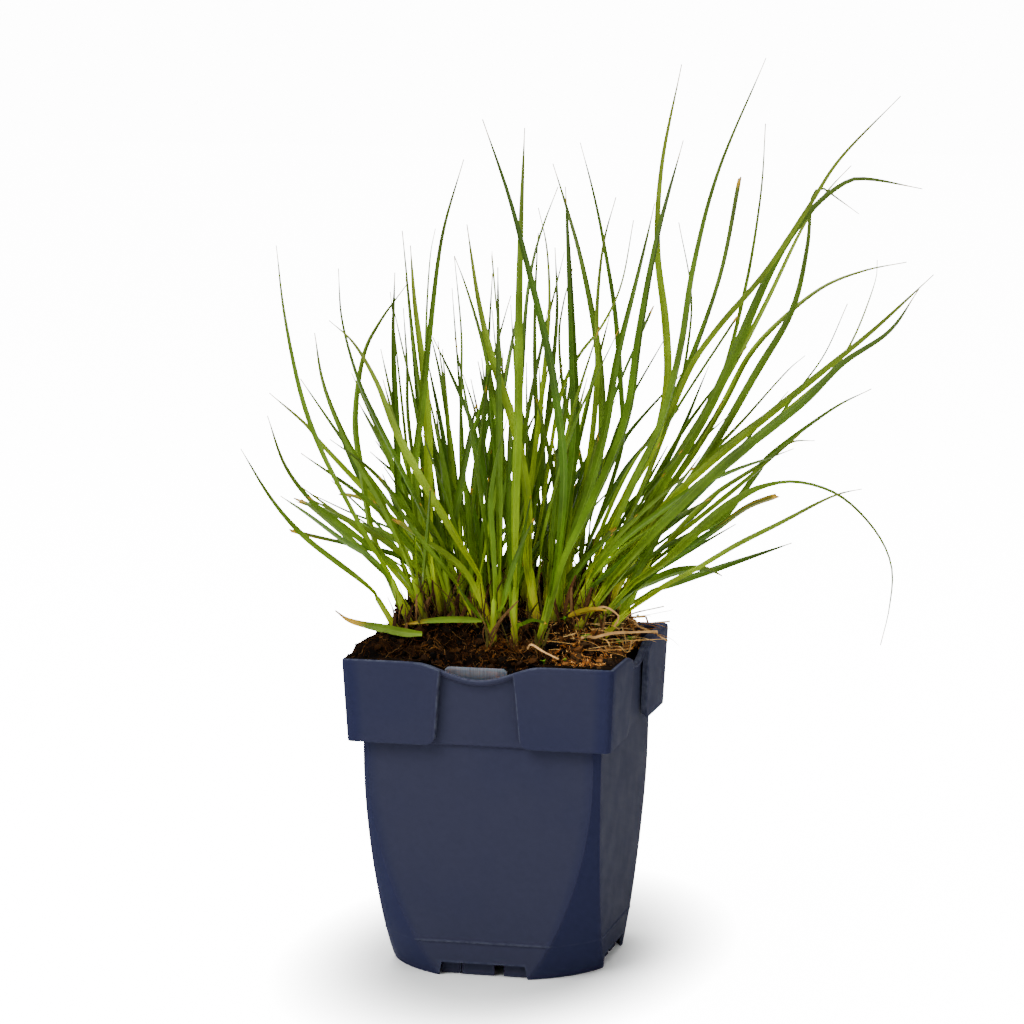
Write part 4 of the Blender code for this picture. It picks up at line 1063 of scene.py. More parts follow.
def twisted(along, roll, start, before, settled):
    """The way across a blade: from how it leaves the stem to how it lies, never flipping over."""
    side, back = side_and_back(along)
    wanted = side * math.cos(roll) + back * math.sin(roll)
    if wanted.dot(before) < 0.0:
        wanted = -wanted
    across = start * (1.0 - settled) + wanted * settled
    return (across - along * across.dot(along)).normalized()


def blade_rings(root, path, width, end, roll):
    """Four corners at each step of a blade, twisted from how it leaves the stem to how it lies."""
    start = (root[1] - root[0]).normalized()
    across = start
    rings = []
    steps = len(path) - 1
    for k in range(1, steps + 1):
        share = k / steps
        along = heading(path, k)
        across = twisted(along, roll, start, across, smooth_step(0.0, 0.35, share))
        up = along.cross(across)
        half = 0.5 * blade_width(share, width, end)
        thick = 0.5 * BLADE_THICK
        if k == steps and end == TIP:
            half = 0.25
            thick = 0.15
        centre = path[k]
        rings.append([centre - across * half - up * thick, centre + across * half - up * thick,
                      centre + across * half + up * thick, centre - across * half + up * thick])
    return rings


def skin_faces(low, high):
    """The triangles between two sections of a blade, whose two wide sides fold the same way."""
    faces = []
    for i in range(4):
        j = (i + 1) % 4
        if i < 2:
            faces += [(low[i], low[j], high[j]), (low[i], high[j], high[i])]
        else:
            faces += [(low[i], low[j], high[i]), (low[j], high[j], high[i])]
    return faces


def skin_shape(rings, extra):
    """Corners and faces of a blade's skin, fattened a little."""
    points = []
    faces = []
    for corners in rings:
        centre = sum(corners, Vector()) / 4.0
        for corner in corners:
            points.append(corner + (corner - centre).normalized() * extra * 1.5)
    for k in range(0, len(points) - 4, 4):
        faces += skin_faces(range(k, k + 4), range(k + 4, k + 8))
    faces.append((0, 1, 2, 3))
    last = len(points) - 4
    faces.append((last, last + 1, last + 2, last + 3))
    return points, faces


def blade_tree(rings, extra):
    """A search tree of a blade's skin, for finding what it would touch."""
    return BVHTree.FromPolygons(*skin_shape(rings, extra))


def crosses_itself(rings):
    """Whether two faces of a skin meet that share no corner."""
    points, faces = skin_shape(rings, 0.0)
    tree = BVHTree.FromPolygons(points, faces)
    return any(not set(faces[a]) & set(faces[b]) for a, b in tree.overlap(tree) if a < b)


def stem_ring(centre, along, radius):
    """Four corners round a stem, one pair of sides facing across the view."""
    side, back = side_and_back(along)
    return [centre + way * radius * 0.7071 for way in (-side - back, side - back, side + back, -side + back)]


class Shoot:
    """One shoot: its stem's rings, the face that each blade leaves from, and its blades."""

    def __init__(self, foot, blades):
        self.blades = blades
        self.drawn_foot = foot
        depth = soil_depth(*foot)
        self.depth = depth
        self.foot = slid_back(foot[0], foot[1], depth)
        first = blades[0][2][0]
        goal = slid_back(first[0], first[1], depth)
        self.along = (goal - self.foot).normalized()
        self.length = min(STEM_LENGTH, 0.8 * (goal - self.foot).length)
        slim = max(blade[0] for blade in blades) < SLIM_SHOOT
        self.radius = STEM_RADIUS * (0.7 if slim else 1.0)
        self.rings = []
        self.roots = [None] * (len(blades) - 1)
        self.plan_rings()
        self.skins = [blade_tree(self.rings, 0.0)]

    def plan_rings(self):
        """Heights of the rings up the stem: two for each side blade, the blade that swings widest lowest."""
        swings = [self.swing(blade) for blade in self.blades[1:]]
        heights = [-SOCKET_DEEP + GAP]
        for k, index in enumerate(sorted(range(len(swings)), key=lambda index: -abs(swings[index]))):
            base = self.length * (k + 0.8) / (len(swings) + 1) - 0.5 * COLLAR_RISE + 2.0
            heights += [base, base + COLLAR_RISE]
            self.roots[index] = (2 * k + 1, 1 if swings[index] > 0.0 else 3)
        heights.append(max(self.length, heights[-1] + 2.0))
        top = heights[-1]
        for height in heights:
            radius = self.radius * mix(1.0, STEM_TAPER, max(0.0, height) / top)
            self.rings.append(stem_ring(self.foot + self.along * height, self.along, radius))
        self.top = self.foot + self.along * top

    def swing(self, blade):
        """How far to the right of the first blade's course another blade sets out, as drawn."""
        course = [Vector(point) for point in (self.drawn_foot, *self.blades[0][2])]
        point = Vector(blade[2][0])
        gaps = []
        for near, far in zip(course, course[1:]):
            along = far - near
            share = min(1.0, max(0.0, (point - near).dot(along) / along.length_squared))
            gap = point - near.lerp(far, share)
            gaps.append((gap.length, gap.dot(Vector((along.y, -along.x)))))
        length, right = min(gaps)
        return math.copysign(length, right)

    def root_of(self, index):
        """The four corners that blade number index grows from, anticlockwise as seen from outside."""
        if index == 0:
            return self.rings[-1]
        lower, side = self.roots[index - 1]
        near, far = (1, 2) if side == 1 else (3, 0)
        low, high = self.rings[lower:lower + 2]
        return [low[near], low[far], high[far], high[near]]

    def tree(self):
        return blade_tree(self.rings, CLEARANCE)


def lifted(root):
    """The corners a blade grows from, moved a little off the stem."""
    out = (root[1] - root[0]).cross(root[3] - root[0]).normalized()
    return [corner + out * ROOT_LIFT for corner in root]


def blade_steps(width, drawn):
    """Facets along a blade: fewer on a narrow or a short one."""
    if len(drawn) < 4:
        return BLADE_STEPS - 2
    return BLADE_STEPS if width > NARROW_BLADE else BLADE_STEPS - 1


def place_blade(shoot, index, taken, chance, tries=DEPTH_TRIES):
    """The path and roll of a blade that touches nothing that stands already."""
    width, end, drawn = shoot.blades[index]
    root = shoot.root_of(index)
    start = sum(root, Vector()) / 4.0
    count = max(blade_steps(width, drawn), len(drawn))
    reach = 0.3 * (Vector(drawn[-1]) - Vector(drawn[0])).length
    for attempt in range(tries):
        lean = shoot.depth * 0.6 + chance.uniform(-1.0, 1.0) * min(LEAN_LIMIT, reach + attempt)
        lean = max(-DEPTH_LIMIT - shoot.depth, min(DEPTH_LIMIT - shoot.depth, lean))
        roll = chance.uniform(0.15, 0.75) * chance.choice((-1.0, 1.0))
        points = [start]
        for k, (across, height) in enumerate(drawn):
            share = (k + 0.6) / (len(drawn) - 0.4)
            points.append(slid_back(across, height, shoot.depth + lean * share ** 1.3))
        rings = blade_rings(root, smooth_path(points, count), width, end, roll)
        tree = blade_tree([root] + rings, CLEARANCE)
        if any(tree.overlap(other) for owner, other in taken if owner is not shoot):
            continue
        skin = blade_tree([lifted(root)] + rings, OWN_CLEARANCE)
        if any(skin.overlap(other) for other in shoot.skins) or crosses_itself([root] + rings):
            continue
        shoot.skins.append(skin)
        taken.append((shoot, tree))
        return points, roll
    return None


def fanned(across, height, leans, rise):
    """Three drawn points of a blade, each leaning further over from its foot."""
    return tuple((across + lean, height + share * rise) for lean, share in zip(leans, (0.3, 0.66, 1.0)))


def back_blades(foot, chance):
    """Short blades of a shoot at the back of the clump, fanned round its stem."""
    across, height = foot
    blades = []
    for k in range(BACK_BLADES):
        spread = mix(-30.0, 38.0, (k + chance.random()) / BACK_BLADES)
        rise = chance.uniform(62.0, 118.0)
        points = fanned(across, height, (0.22 * spread, 0.55 * spread, spread), rise)
        blades.append((chance.uniform(2.2, 4.2), TIP, points))
    return tuple(blades)


def stand_shoot(foot, blades, taken):
    """Stand a shoot's stem on the soil, a little aside where another stem is in the way."""
    for shift in STEM_SHIFTS:
        shoot = Shoot((foot[0] + shift, foot[1]), blades)
        tree = shoot.tree()
        if not any(tree.overlap(other) for _, other in taken):
            break
    taken.append((shoot, tree))
    return shoot


def strand_path(strand, shift, lift, steps):
    """A strand's way at a depth, lifted clear of the soil and the rim all along."""
    _, _, drawn, depths = strand
    points = []
    for k, (across, height) in enumerate(drawn):
        points.append(slid_back(across, height, mix(depths[0], depths[1], k / (len(drawn) - 1)) + shift))
    path = smooth_path(points, steps)
    for point in path:
        reach = side_reach(point)
        ground = soil_height(point.x, point.y) if reach < SOIL_HALF_TOP - 1.0 else RIM_TOP
        if reach < RIM_HALF + 2.0:
            point.z = max(point.z, ground + lift)
    return path


def strand_rings(strand, shift, lift):
    """A straw or a fallen blade in its plain form."""
    width = strand[1]
    path = strand_path(strand, shift, lift, STRAND_STEPS)
    start = stem_ring(path[0], (path[1] - path[0]).normalized(), 0.5 * width)
    return [start] + blade_rings(start, path, width, CUT, STRAND_ROLL)


def place_strand(strand, taken):
    """The first depth and lift, near the drawn ones, at which the strand touches nothing."""
    for lift in STRAND_LIFTS:
        for shift in STRAND_SHIFTS:
            rings = strand_rings(strand, shift, lift)
            tree = blade_tree(rings, CLEARANCE)
            if not any(tree.overlap(other) for _, other in taken):
                taken.append((None, tree))
                return shift, lift
    return 0.0, STRAND_LIFTS[0]


# Fine stems and blades

GRASS_SHARP_ANGLE = math.radians(55.0)
UPPER_PLACES = (-1.0, -0.5, 0.0, 0.5, 1.0)
LOWER_PLACES = (0.5, 0.0, -0.5)
UNDERSIDE_SHARE = 0.96
LEAST_STEPS = 22
STEP_LENGTH = 3.2
BASE_THICK = 0.45
TIP_THICK = 0.3
BLADE_KEEL = 1.5
STRAND_KEEL = 1.3
STEM_STEPS = 12
STEM_SIDES = 12
STEM_WIDE = 0.64
STEM_DEEP = 0.74
STEM_SWELL = 0.22
STEM_TOP = 0.4
RIDGES = 0.07
TONE_SEED = 11


def fold_angle(share, values):
    """A blade is folded deep where it leaves the sheath and opens out along its length."""
    return mix(values.fold_at_base, values.fold_open, smooth_step(-0.04, 0.3, share))


def blade_line(points, stem):
    """The blade's middle line with its start inside the stem, and how long the hidden start is."""
    foot, along = stem
    height = (points[0] - foot).dot(along)
    low = foot + along * max(0.5, height - 10.0)
    return [low] + points, (points[0] - low).length


def section_of_blade(centre, across, up, half, angle, thick, keel):
    """Eight corners of the blade's section: its upper side has a fold, its lower side a keel."""
    points = []
    for place in UPPER_PLACES:
        points.append(centre + across * (half * place * math.cos(angle))
                      + up * (half * abs(place) * math.sin(angle)))
    for place in LOWER_PLACES:
        down = thick * (keel if place == 0.0 else 0.8)
        points.append(centre + across * (half * place * math.cos(angle) * UNDERSIDE_SHARE)
                      + up * (half * abs(place) * math.sin(angle) - down))
    return points


def growth_colours(share, tint, dry):
    """Along, tint, dryness and place across for each corner of a section."""
    return [(share, tint, dry, 0.5 + 0.5 * place) for place in UPPER_PLACES + LOWER_PLACES]


def dry_share(share, end, dry):
    """How dry a blade is at a place: its tip, or the whole end of a cut or fading one."""
    tip = smooth_step(0.94, 1.0, share) * 0.85
    if end == CUT:
        tip = 0.7 * smooth_step(0.965, 1.0, share)
    return max(tip, dry * smooth_step(0.35, 1.0, share))


def add_blade(skin, root, stem, points, roll, width, end, tint, dry, values, slender=1.0):
    """One finished blade from inside its stem to its tip, thinned by slender past its first third."""
    line, hidden = blade_line(points, stem)
    steps = max(LEAST_STEPS, min(values.blade_steps, int((line[-1] - line[0]).length / STEP_LENGTH)))
    path = smooth_path(line, steps)
    total = sum((b - a).length for a, b in zip(path, path[1:]))
    start = (root[1] - root[0]).normalized()
    stem_half = 0.5 * (root[1] - root[0]).length
    rings = []
    colours = []
    up_before = None
    across = start
    for k, centre in enumerate(path):
        share = min(1.0, (total * k / steps - hidden) / (total - hidden))
        along = heading(path, k)
        sway = roll + 0.10 * math.sin(5.0 * share + tint * 9.0)
        across = twisted(along, sway, start, across, smooth_step(-0.02, 0.2, share))
        up = along.cross(across)
        if up_before is None:
            from_stem = points[0] - stem[0]
            outwards = from_stem - stem[1] * from_stem.dot(stem[1])
            up_before = up if up.dot(outwards) <= 0.0 else -up
        if up.dot(up_before) < 0.0:
            up = -up
        up_before = up
        half = 0.5 * BLADE_TRIM * blade_width(max(0.0, share), width, end)
        half *= mix(1.0, slender, smooth_step(0.28, 0.48, share))
        if share < 0.0:
            half = mix(stem_half * 0.8, half, k * total / steps / hidden)
        if end == TIP:
            half = 0.13 + max(0.16, half * mix(1.05, 0.6, smooth_step(0.9, 1.0, share)))
        else:
            half *= mix(1.0, 0.8, smooth_step(0.97, 1.0, share))
        thick = mix(BASE_THICK, TIP_THICK, smooth_step(0.0, 0.6, share)) * min(1.0, half / 0.6)
        angle = fold_angle(share, values)
        rings.append(section_of_blade(centre, across, up, half, angle, thick, BLADE_KEEL))
        colours.append(growth_colours(share, tint, dry_share(share, end, dry)))
    if end == CUT:
        last = path[-1] - path[-2]
        rings[-1] = [point + last * (0.6 * math.sin(3.0 * i + 7.0 * tint))
                     for i, point in enumerate(rings[-1])]
    skin.tube(rings, colours)


def add_stem(skin, shoot, tint):
    """The flattened stem of folded sheaths: wide at the foot, pinched above it, then even."""
    rings = []
    colours = []
    length = (shoot.top - shoot.foot).length
    side, back = side_and_back(shoot.along)
    angles = [FULL_TURN * i / STEM_SIDES for i in range(STEM_SIDES)]
    for k in range(STEM_STEPS + 1):
        share = k / STEM_STEPS
        height = mix(-SOCKET_DEEP, length + 2.0, share)
        swell = 1.0 + STEM_SWELL * math.exp(-((height - 1.5) / 3.0) ** 2)
        wide = shoot.radius * STEM_WIDE * swell * mix(1.0, STEM_TAPER, share)
        deep = wide * STEM_DEEP
        if k == STEM_STEPS:
            wide *= STEM_TOP
            deep *= STEM_TOP
        centre = shoot.foot + shoot.along * height
        points = []
        for angle in angles:
            ridge = 1.0 + RIDGES * math.cos(3.0 * angle + 2.0 * tint)
            points.append(centre + side * math.cos(angle) * wide * ridge
                          + back * math.sin(angle) * deep * ridge)
        rings.append(points)
        along = mix(-0.32, -0.02, share)
        colours.append([(along, tint, 0.0, 0.5 + 0.5 * math.cos(angle)) for angle in angles])
    skin.tube(rings, colours)


# All drawn blades are a little narrower than the solids. SLENDER thins one blade past its first third, by its
# (shoot, blade), and FADING says how dry the blades of a shoot are, by the shoot.
BLADE_TRIM = 0.94
SLENDER = {(28, 0): 0.3}
FADING = {2: 0.15, 5: 0.2, 7: 0.25, 8: 0.15, 26: 0.15, 28: 0.2, 29: 0.15, 30: 0.25, 11: 0.1}


def build_shoots(values):
    """All shoots at the depths that their neighbours leave free, one piece each."""
    chance = random.Random(BACK_SEED)
    tones = random.Random(TONE_SEED)
    green = leaf_paint(values)
    layout = list(SHOOTS) + [(foot, back_blades(foot, chance)) for foot in BACK_FEET]
    taken = []
    shoots = [stand_shoot(foot, blades, taken) for foot, blades in layout]
    for number, shoot in enumerate(shoots):
        skin = Skin()
        tint = tones.random()
        add_stem(skin, shoot, tint)
        for index, (width, end, _) in enumerate(shoot.blades):
            points, roll = place_blade(shoot, index, taken, chance)
            shade = min(1.0, max(0.0, tint + tones.uniform(-0.35, 0.35)))
            dry = FADING.get(number, 0.0) * (1.0 if index else 0.5)
            add_blade(skin, shoot.root_of(index), (shoot.foot, shoot.along), points, roll, width, end, shade,
                      dry, values, SLENDER.get((number, index), 1.0))
        name = f"shoot_{number + 1:02d}"
        piece = skin.piece(f"grass_{name}", green, GRASS_SHARP_ANGLE)
        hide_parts(name)
        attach(piece, BODY)
    return taken


# Straws and fallen blades

def coarse_soil():
    """The soil's plain skin, as the straws' places were found against it."""
    sections = [(soil_half(height), soil_round(height), height)
                for height in (FLOOR_TOP + GAP, *SOIL_LEVELS, FLAP_FOOT - 3.0)]
    sections.append((soil_half(FLAP_FOOT), BARREL_TOP, SOIL_WALL_HEIGHT - 12.0))
    loops = [[(x, y, height) for x, y, _ in outline(half, radius, SOIL_SIDE_SHARES, SOIL_CORNER_POINTS)]
             for half, radius, height in sections]
    rim = outline(SOIL_HALF_TOP, SOIL_RADIUS, SOIL_SIDE_SHARES, SOIL_CORNER_POINTS)
    for share in (1.0, *SOIL_SHARES):
        loops.append([(x * share, y * share, soil_height(x * share, y * share)) for x, y, _ in rim])
    skin = Skin()
    skin.close([skin.loop(points) for points in loops])
    shape = bmesh.new()
    corners = [shape.verts.new(point) for point in skin.points]
    for face in skin.faces:
        shape.faces.new([corners[index] for index in face])
    bmesh.ops.triangulate(shape, faces=shape.faces)
    tree = BVHTree.FromBMesh(shape)
    shape.free()
    return tree


FINE_STRAND_STEPS = 26
FALLEN_FOLD = 0.35
STRAW_FOLD = 0.8
STRAND_TRIM = {"fallen_blade_2": 0.6}
STRAND_DRYNESS = {"fallen_blade_1": (0.0, 0.75), "fallen_blade_2": (0.0, 0.45), "fallen_blade_3": (0.35, 0.5)}


def build_strand(strand, taken, green, dry_paint):
    """One fallen blade, or one straw: the same form, folded more and dry all along."""
    name, width, _, _ = strand
    path = strand_path(strand, *place_strand(strand, taken), FINE_STRAND_STEPS)
    fallen = name.startswith(FALLEN)
    skin = Skin()
    rings = []
    colours = []
    for k, centre in enumerate(path):
        share = k / FINE_STRAND_STEPS
        along = heading(path, k)
        side, back = side_and_back(along)
        across = side * math.cos(STRAND_ROLL) + back * math.sin(STRAND_ROLL)
        up = along.cross(across)
        if up.z < 0.0:
            up = -up
        half = 0.5 * STRAND_TRIM.get(name, 1.0) * blade_width(share, width, CUT)
        if fallen:
            half *= (mix(1.0, 0.25, smooth_step(0.7, 1.0, share))
                     * mix(0.7, 1.0, smooth_step(0.0, 0.15, share)))
        start, finish = STRAND_DRYNESS.get(name, (0.6, 0.6))
        dry = mix(start, finish, smooth_step(0.45, 1.0, share))
        fold = FALLEN_FOLD if fallen else STRAW_FOLD
        rings.append(section_of_blade(centre, across, up, half, fold, TIP_THICK, STRAND_KEEL))
        colours.append(growth_colours(0.25 + 0.6 * share, 0.3, dry))
    skin.tube(rings, colours)
    piece = skin.piece("loose_" + name, green if fallen else dry_paint, GRASS_SHARP_ANGLE)
    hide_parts(name)
    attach(piece, BODY)


def build_strands(values, taken):
    """The straws and the fallen blades, clear of the soil and of the shoots."""
    taken.append((None, coarse_soil()))
    green = leaf_paint(values)
    dry_paint = straw_paint()
    for strand in STRANDS:
        build_strand(strand, taken, green, dry_paint)


# Inner blades

INNER_SEED = 97
INNER_FOOT = 162.5
INNER_DEPTH = 45.0
LEFT_REACH = 100.0
RIGHT_REACH = 140.0


def inner_blade(foot, chance):
    """A narrow blade that leans the way the clump fans out at its foot."""
    across, height = foot
    spread = across * chance.uniform(0.1, 1.6) + chance.gauss(9.0, 19.0)
    spread = max(-LEFT_REACH - across, min(RIGHT_REACH - across, spread))
    rise = chance.uniform(45.0, 200.0) * (1.0 - 0.3 * min(1.0, abs(spread) / 90.0))
    bow = chance.uniform(0.25, 0.5)
    points = fanned(across, height, (bow * 0.5 * spread, (bow + 0.2) * spread, spread), rise)
    return chance.uniform(1.6, 3.9), CUT if chance.random() < 0.05 else TIP, points


def build_inner_blades(values, taken):
    """Single narrow blades between the shoots, wherever they touch nothing."""
    chance = random.Random(INNER_SEED)
    skin = Skin()
    green = leaf_paint(values)
    feet = [foot for foot, _ in SHOOTS if foot[1] > INNER_FOOT] + list(BACK_FEET)
    for _ in range(values.fillers):
        foot = chance.choice(feet)
        foot = (foot[0] + chance.uniform(-6.0, 6.0), foot[1] + chance.uniform(-1.0, 7.0))
        shoot = Shoot(foot, (inner_blade(foot, chance),))
        shoot.radius *= 0.6
        tree = shoot.tree()
        if shoot.depth > INNER_DEPTH or any(tree.overlap(other) for owner, other in taken if owner):
            continue
        found = place_blade(shoot, 0, taken, chance, values.filler_tries)
        if found is None:
            continue
        tint = chance.uniform(0.15, 0.95)
        width, end, _ = shoot.blades[0]
        add_stem(skin, shoot, tint)
        add_blade(skin, shoot.root_of(0), (shoot.foot, shoot.along), *found, width, end, tint, 0.0, values)
    piece = skin.piece("inner_blades", green, GRASS_SHARP_ANGLE)
    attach(piece, BODY)


# Materials

SCUFF_COLOUR = (0.04, 0.044, 0.07)
# Paler colour of the painted highlights along the pot's edges.
EDGE_HIGHLIGHT_COLOUR = (0.052, 0.058, 0.082)
CLIP_COLOURS = ((0.0, (0.034, 0.046, 0.068)), (1.0, (0.092, 0.112, 0.145)))
PALE_PEAT = (0.09, 0.042, 0.014)
BLADE_FOOT_COLOURS = ((0.0, (0.09, 0.05, 0.018)), (0.04, (0.22, 0.16, 0.025)), (0.10, (0.34, 0.37, 0.014)))
RIB_COLOUR = (0.22, 0.32, 0.05)
STRAW_COLOURS = ((0.0, (0.66, 0.40, 0.14)), (0.6, (0.50, 0.26, 0.075)), (1.0, (0.20, 0.09, 0.025)))
STRAW_SPOT_COLOUR = (0.14, 0.06, 0.02)


def navy_plastic(values):
    """Moulded plastic with a fine grain and faint scuffs. A painted reflection leaves the flat sides paler
    slate and the corners bluer, and paler painted highlights run along the edges.
    """
    paint = Paint("navy_plastic", 0.42)
    here = paint.here()
    parts = paint.parts(paint.growth().outputs["Color"])
    corner, edge_highlight = parts["Red"], parts["Green"]
    # Painted reflection: the corner share and a cloud of noise mix the flat sides' paler slate, painted with
    # a sheen of the bright room, into the corners' bluer navy.
    cloud = paint.span(paint.noise(here, 18.0, 4.0), 0.35, 0.65, -0.15, 0.15)
    share = paint.sum(corner, cloud)
    colour = paint.blend(share, tuple(values.sheen_slate), tuple(values.blue))
    scratches = paint.noise(paint.stretched(here, (3.0, 3.0, 0.5)), 260.0, 6.0, 0.7)
    scuffed = paint.blend(paint.span(scratches, 0.66, 0.8, 0.0, 0.35), colour, SCUFF_COLOUR)
    # Painted highlights: the edges' share, broken into patches by noise, paints them paler.
    edge_highlight_share = paint.product(edge_highlight, paint.span(paint.noise(here, 300.0, 3.0), 0.35, 0.65, 0.15, 0.8))
    paint.set("Base Color", paint.blend(edge_highlight_share, scuffed, EDGE_HIGHLIGHT_COLOUR))
    grain = paint.noise(here, 2600.0, 2.0)
    wide = paint.noise(here, 60.0, 3.0)
    paint.set("Roughness", paint.span(wide, 0.3, 0.7, 0.38, 0.5))
    paint.set("Specular IOR Level", 0.002)
    paint.bump(paint.sum(grain, paint.product(wide, 2.5)), 0.16, 0.0002)
    return paint.material


def frosted_plastic():
    """Milky plastic, lighter along its top edge, with fine lines."""
    paint = Paint("frosted_plastic", 0.38)
    here = paint.here()
    lines = paint.noise(paint.stretched(here, (40.0, 1.0, 1.0)), 90.0, 3.0)
    paint.set("Base Color", paint.ramp(paint.span(lines, 0.3, 0.7), CLIP_COLOURS))
    paint.set("Subsurface Weight", 0.15)
    paint.bump(lines, 0.4, 0.0003)
    return paint.material


def peat(values):
    """Damp peat: near black in the hollows, dark to rusty brown on the crumbs."""
    paint = Paint("peat", 0.9)
    here = paint.here()
    grains = paint.product(paint.noise(here, 900.0, 3.0), 0.5)
    tone = paint.span(paint.sum(paint.noise(here, 130.0, 6.0, 0.65), grains), 0.45, 1.1)
    stops = ((0.0, tuple(values.peat_dark)), (0.5, tuple(values.peat_mid)), (0.82, tuple(values.peat_rust)),
             (1.0, PALE_PEAT))
    clumps = paint.span(paint.noise(here, 60.0, 3.0), 0.38, 0.62, 0.25, 1.25)
    paint.set("Base Color", paint.brighter(paint.ramp(tone, stops), clumps))
    paint.set("Roughness", paint.span(tone, 0.0, 1.0, 0.75, 0.98))
    paint.set("Specular IOR Level", 0.02)
    paint.bump(paint.sum(paint.noise(here, 420.0, 5.0), paint.noise(here, 1500.0, 3.0)), 0.9, 0.0012)
    return paint.material


def litter_paint(name):
    """Crumbs, chips and roots, each with its own colour and a speckled, fibrous surface."""
    paint = Paint(name, 0.85)
    here = paint.here()
    mottle = paint.span(paint.noise(here, 1400.0, 4.0), 0.3, 0.7, 0.55, 1.35)
    paint.set("Base Color", paint.brighter(paint.growth().outputs["Color"], mottle))
    paint.set("Specular IOR Level", 0.04)
    paint.bump(paint.noise(here, 2200.0, 3.0), 0.7, 0.0004)
    return paint.material


def leaf_paint(values):
    """Grass: lime at the base and green above, with veins, a pale midrib and dry tips."""
    ready = bpy.data.materials.get("grass_blade")
    if ready:
        return ready
    paint = Paint("grass_blade", 0.42)
    growth = paint.growth()
    parts = paint.parts(growth.outputs["Color"])
    along, tint, dry, across = parts["Red"], parts["Green"], parts["Blue"], growth.outputs["Alpha"]
    place = {"X": paint.product(across, 7.0), "Y": paint.product(along, 3.0), "Z": paint.product(tint, 37.0)}
    streak = paint.noise(paint.node("ShaderNodeCombineXYZ", place).outputs["Vector"], 1.0, 2.0)
    cloud = paint.noise(paint.here(), 45.0, 3.0)
    height = paint.sum(paint.span(along, -0.35, 1.0), paint.span(streak, 0.3, 0.7, -0.03, 0.03))
    stops = ((0.22, tuple(values.lime)), (0.42, tuple(values.green)), (0.72, tuple(values.deep)),
             (1.0, tuple(values.dusk)))
    fresh = paint.ramp(height, BLADE_FOOT_COLOURS + stops)
    light = paint.blend(paint.span(tint, 0.25, 0.95), fresh, (0.42, 0.56, 0.36), "MULTIPLY")
    light = paint.blend(paint.span(tint, 0.35, 0.0, 0.0, 0.55), light, (2.1, 1.7, 1.0), "MULTIPLY")
    veins = paint.sum(paint.product(across, 19.0), 0.0, "SINE")
    vein_share = paint.product(paint.span(veins, -1.0, 1.0), paint.span(along, 0.0, 0.8, 0.28, 0.04))
    light = paint.blend(vein_share, light, (0.6, 0.7, 0.45), "MULTIPLY")
    light = paint.brighter(light, paint.span(cloud, 0.35, 0.65, 0.72, 1.22))
    from_rib = paint.sum(paint.sum(across, 0.5, "SUBTRACT"), 0.0, "ABSOLUTE")
    rib = paint.product(paint.span(from_rib, 0.0, 0.06, 0.6, 0.0), paint.span(along, 0.0, 0.5, 0.9, 0.3))
    light = paint.blend(rib, light, RIB_COLOUR)
    dryness = paint.sum(dry, paint.span(streak, 0.3, 0.7, -0.14, 0.14))
    yellow = paint.blend(paint.span(dryness, 0.14, 0.45), light, tuple(values.yellow))
    brown = paint.blend(paint.span(dryness, 0.55, 0.85), yellow, tuple(values.brown))
    paint.set("Base Color", brown)
    paint.set("Roughness", paint.span(streak, 0.3, 0.7, 0.36, 0.5))
    paint.set("Specular IOR Level", 0.12)
    paint.bump(streak, 0.15, 0.0001)
    return paint.material


def straw_paint():
    """Dead straw: tan, with brown streaks along it."""
    paint = Paint("dry_straw", 0.75)
    growth = paint.growth()
    along = paint.parts(growth.outputs["Color"])["Red"]
    place = {"X": paint.product(growth.outputs["Alpha"], 18.0), "Y": paint.product(along, 9.0)}
    streaks = paint.noise(paint.node("ShaderNodeCombineXYZ", place).outputs["Vector"], 1.0, 4.0)
    streak = paint.span(streaks, 0.3, 0.72)
    spots = paint.span(paint.noise(paint.here(), 300.0, 4.0), 0.45, 0.7)
    tan = paint.ramp(streak, STRAW_COLOURS)
    paint.set("Base Color", paint.blend(paint.product(spots, 0.4), tan, STRAW_SPOT_COLOUR))
    paint.bump(streak, 0.5, 0.0002)
    return paint.material


# Seedlings, moss and dead sheaths

# Each seedling: where it is seen (across, height), and its size
SEEDLINGS = ((36.5, 154.0, 3.0), (27.0, 161.0, 2.4), (53.5, 150.5, 3.4), (59.0, 153.0, 2.8),
             (17.0, 141.0, 1.6), (27.5, 141.5, 1.5), (34.0, 158.5, 2.2), (63.0, 161.0, 2.0))
SEEDLING_GREENS = ((0.08, 0.20, 0.008, 1.0), (0.13, 0.27, 0.012, 1.0))
MOSS_GREEN = (0.09, 0.15, 0.012, 1.0)
SHEATH_COLOURS = ((0.10, 0.045, 0.015, 1.0), (0.19, 0.10, 0.035, 1.0), (0.045, 0.02, 0.007, 1.0),
                  (0.07, 0.06, 0.012, 1.0))
STALK_COLOURS = ((0.62, 0.36, 0.11, 1.0), (0.44, 0.22, 0.06, 1.0), (0.72, 0.47, 0.17, 1.0),
                 (0.20, 0.08, 0.02, 1.0))
SEEDLING_SEED = 23
SHEATH_SEED = 31
WIRE_HEIGHT = 151.0
WIRE_STEPS = 5
MOSS_ACROSS = -54.0
MOSS_HEIGHT = 160.0
LEAFLET_STEPS = 6
STALK_STEPS = 5
STALK_RIGHT = 60.0
STALK_SPREAD = 48.0


def add_leaflet(skin, root, direction, length, width, colour):
    """A small oval leaf, cupped a little and closed on its underside."""
    direction = direction.normalized()
    side = direction.cross(UP).normalized()
    up = side.cross(direction)
    rings = []
    for k in range(LEAFLET_STEPS + 1):
        share = k / LEAFLET_STEPS
        half = max(0.05, 0.5 * width * math.sin(math.pi * share ** 0.8) ** 0.8)
        centre = root + direction * length * share + up * (0.12 * length * math.sin(math.pi * share))
        rings.append([centre - side * half + up * 0.25 * half, centre,
                      centre + side * half + up * 0.25 * half, centre - up * 0.14])
    skin.plain_tube(rings, colour)


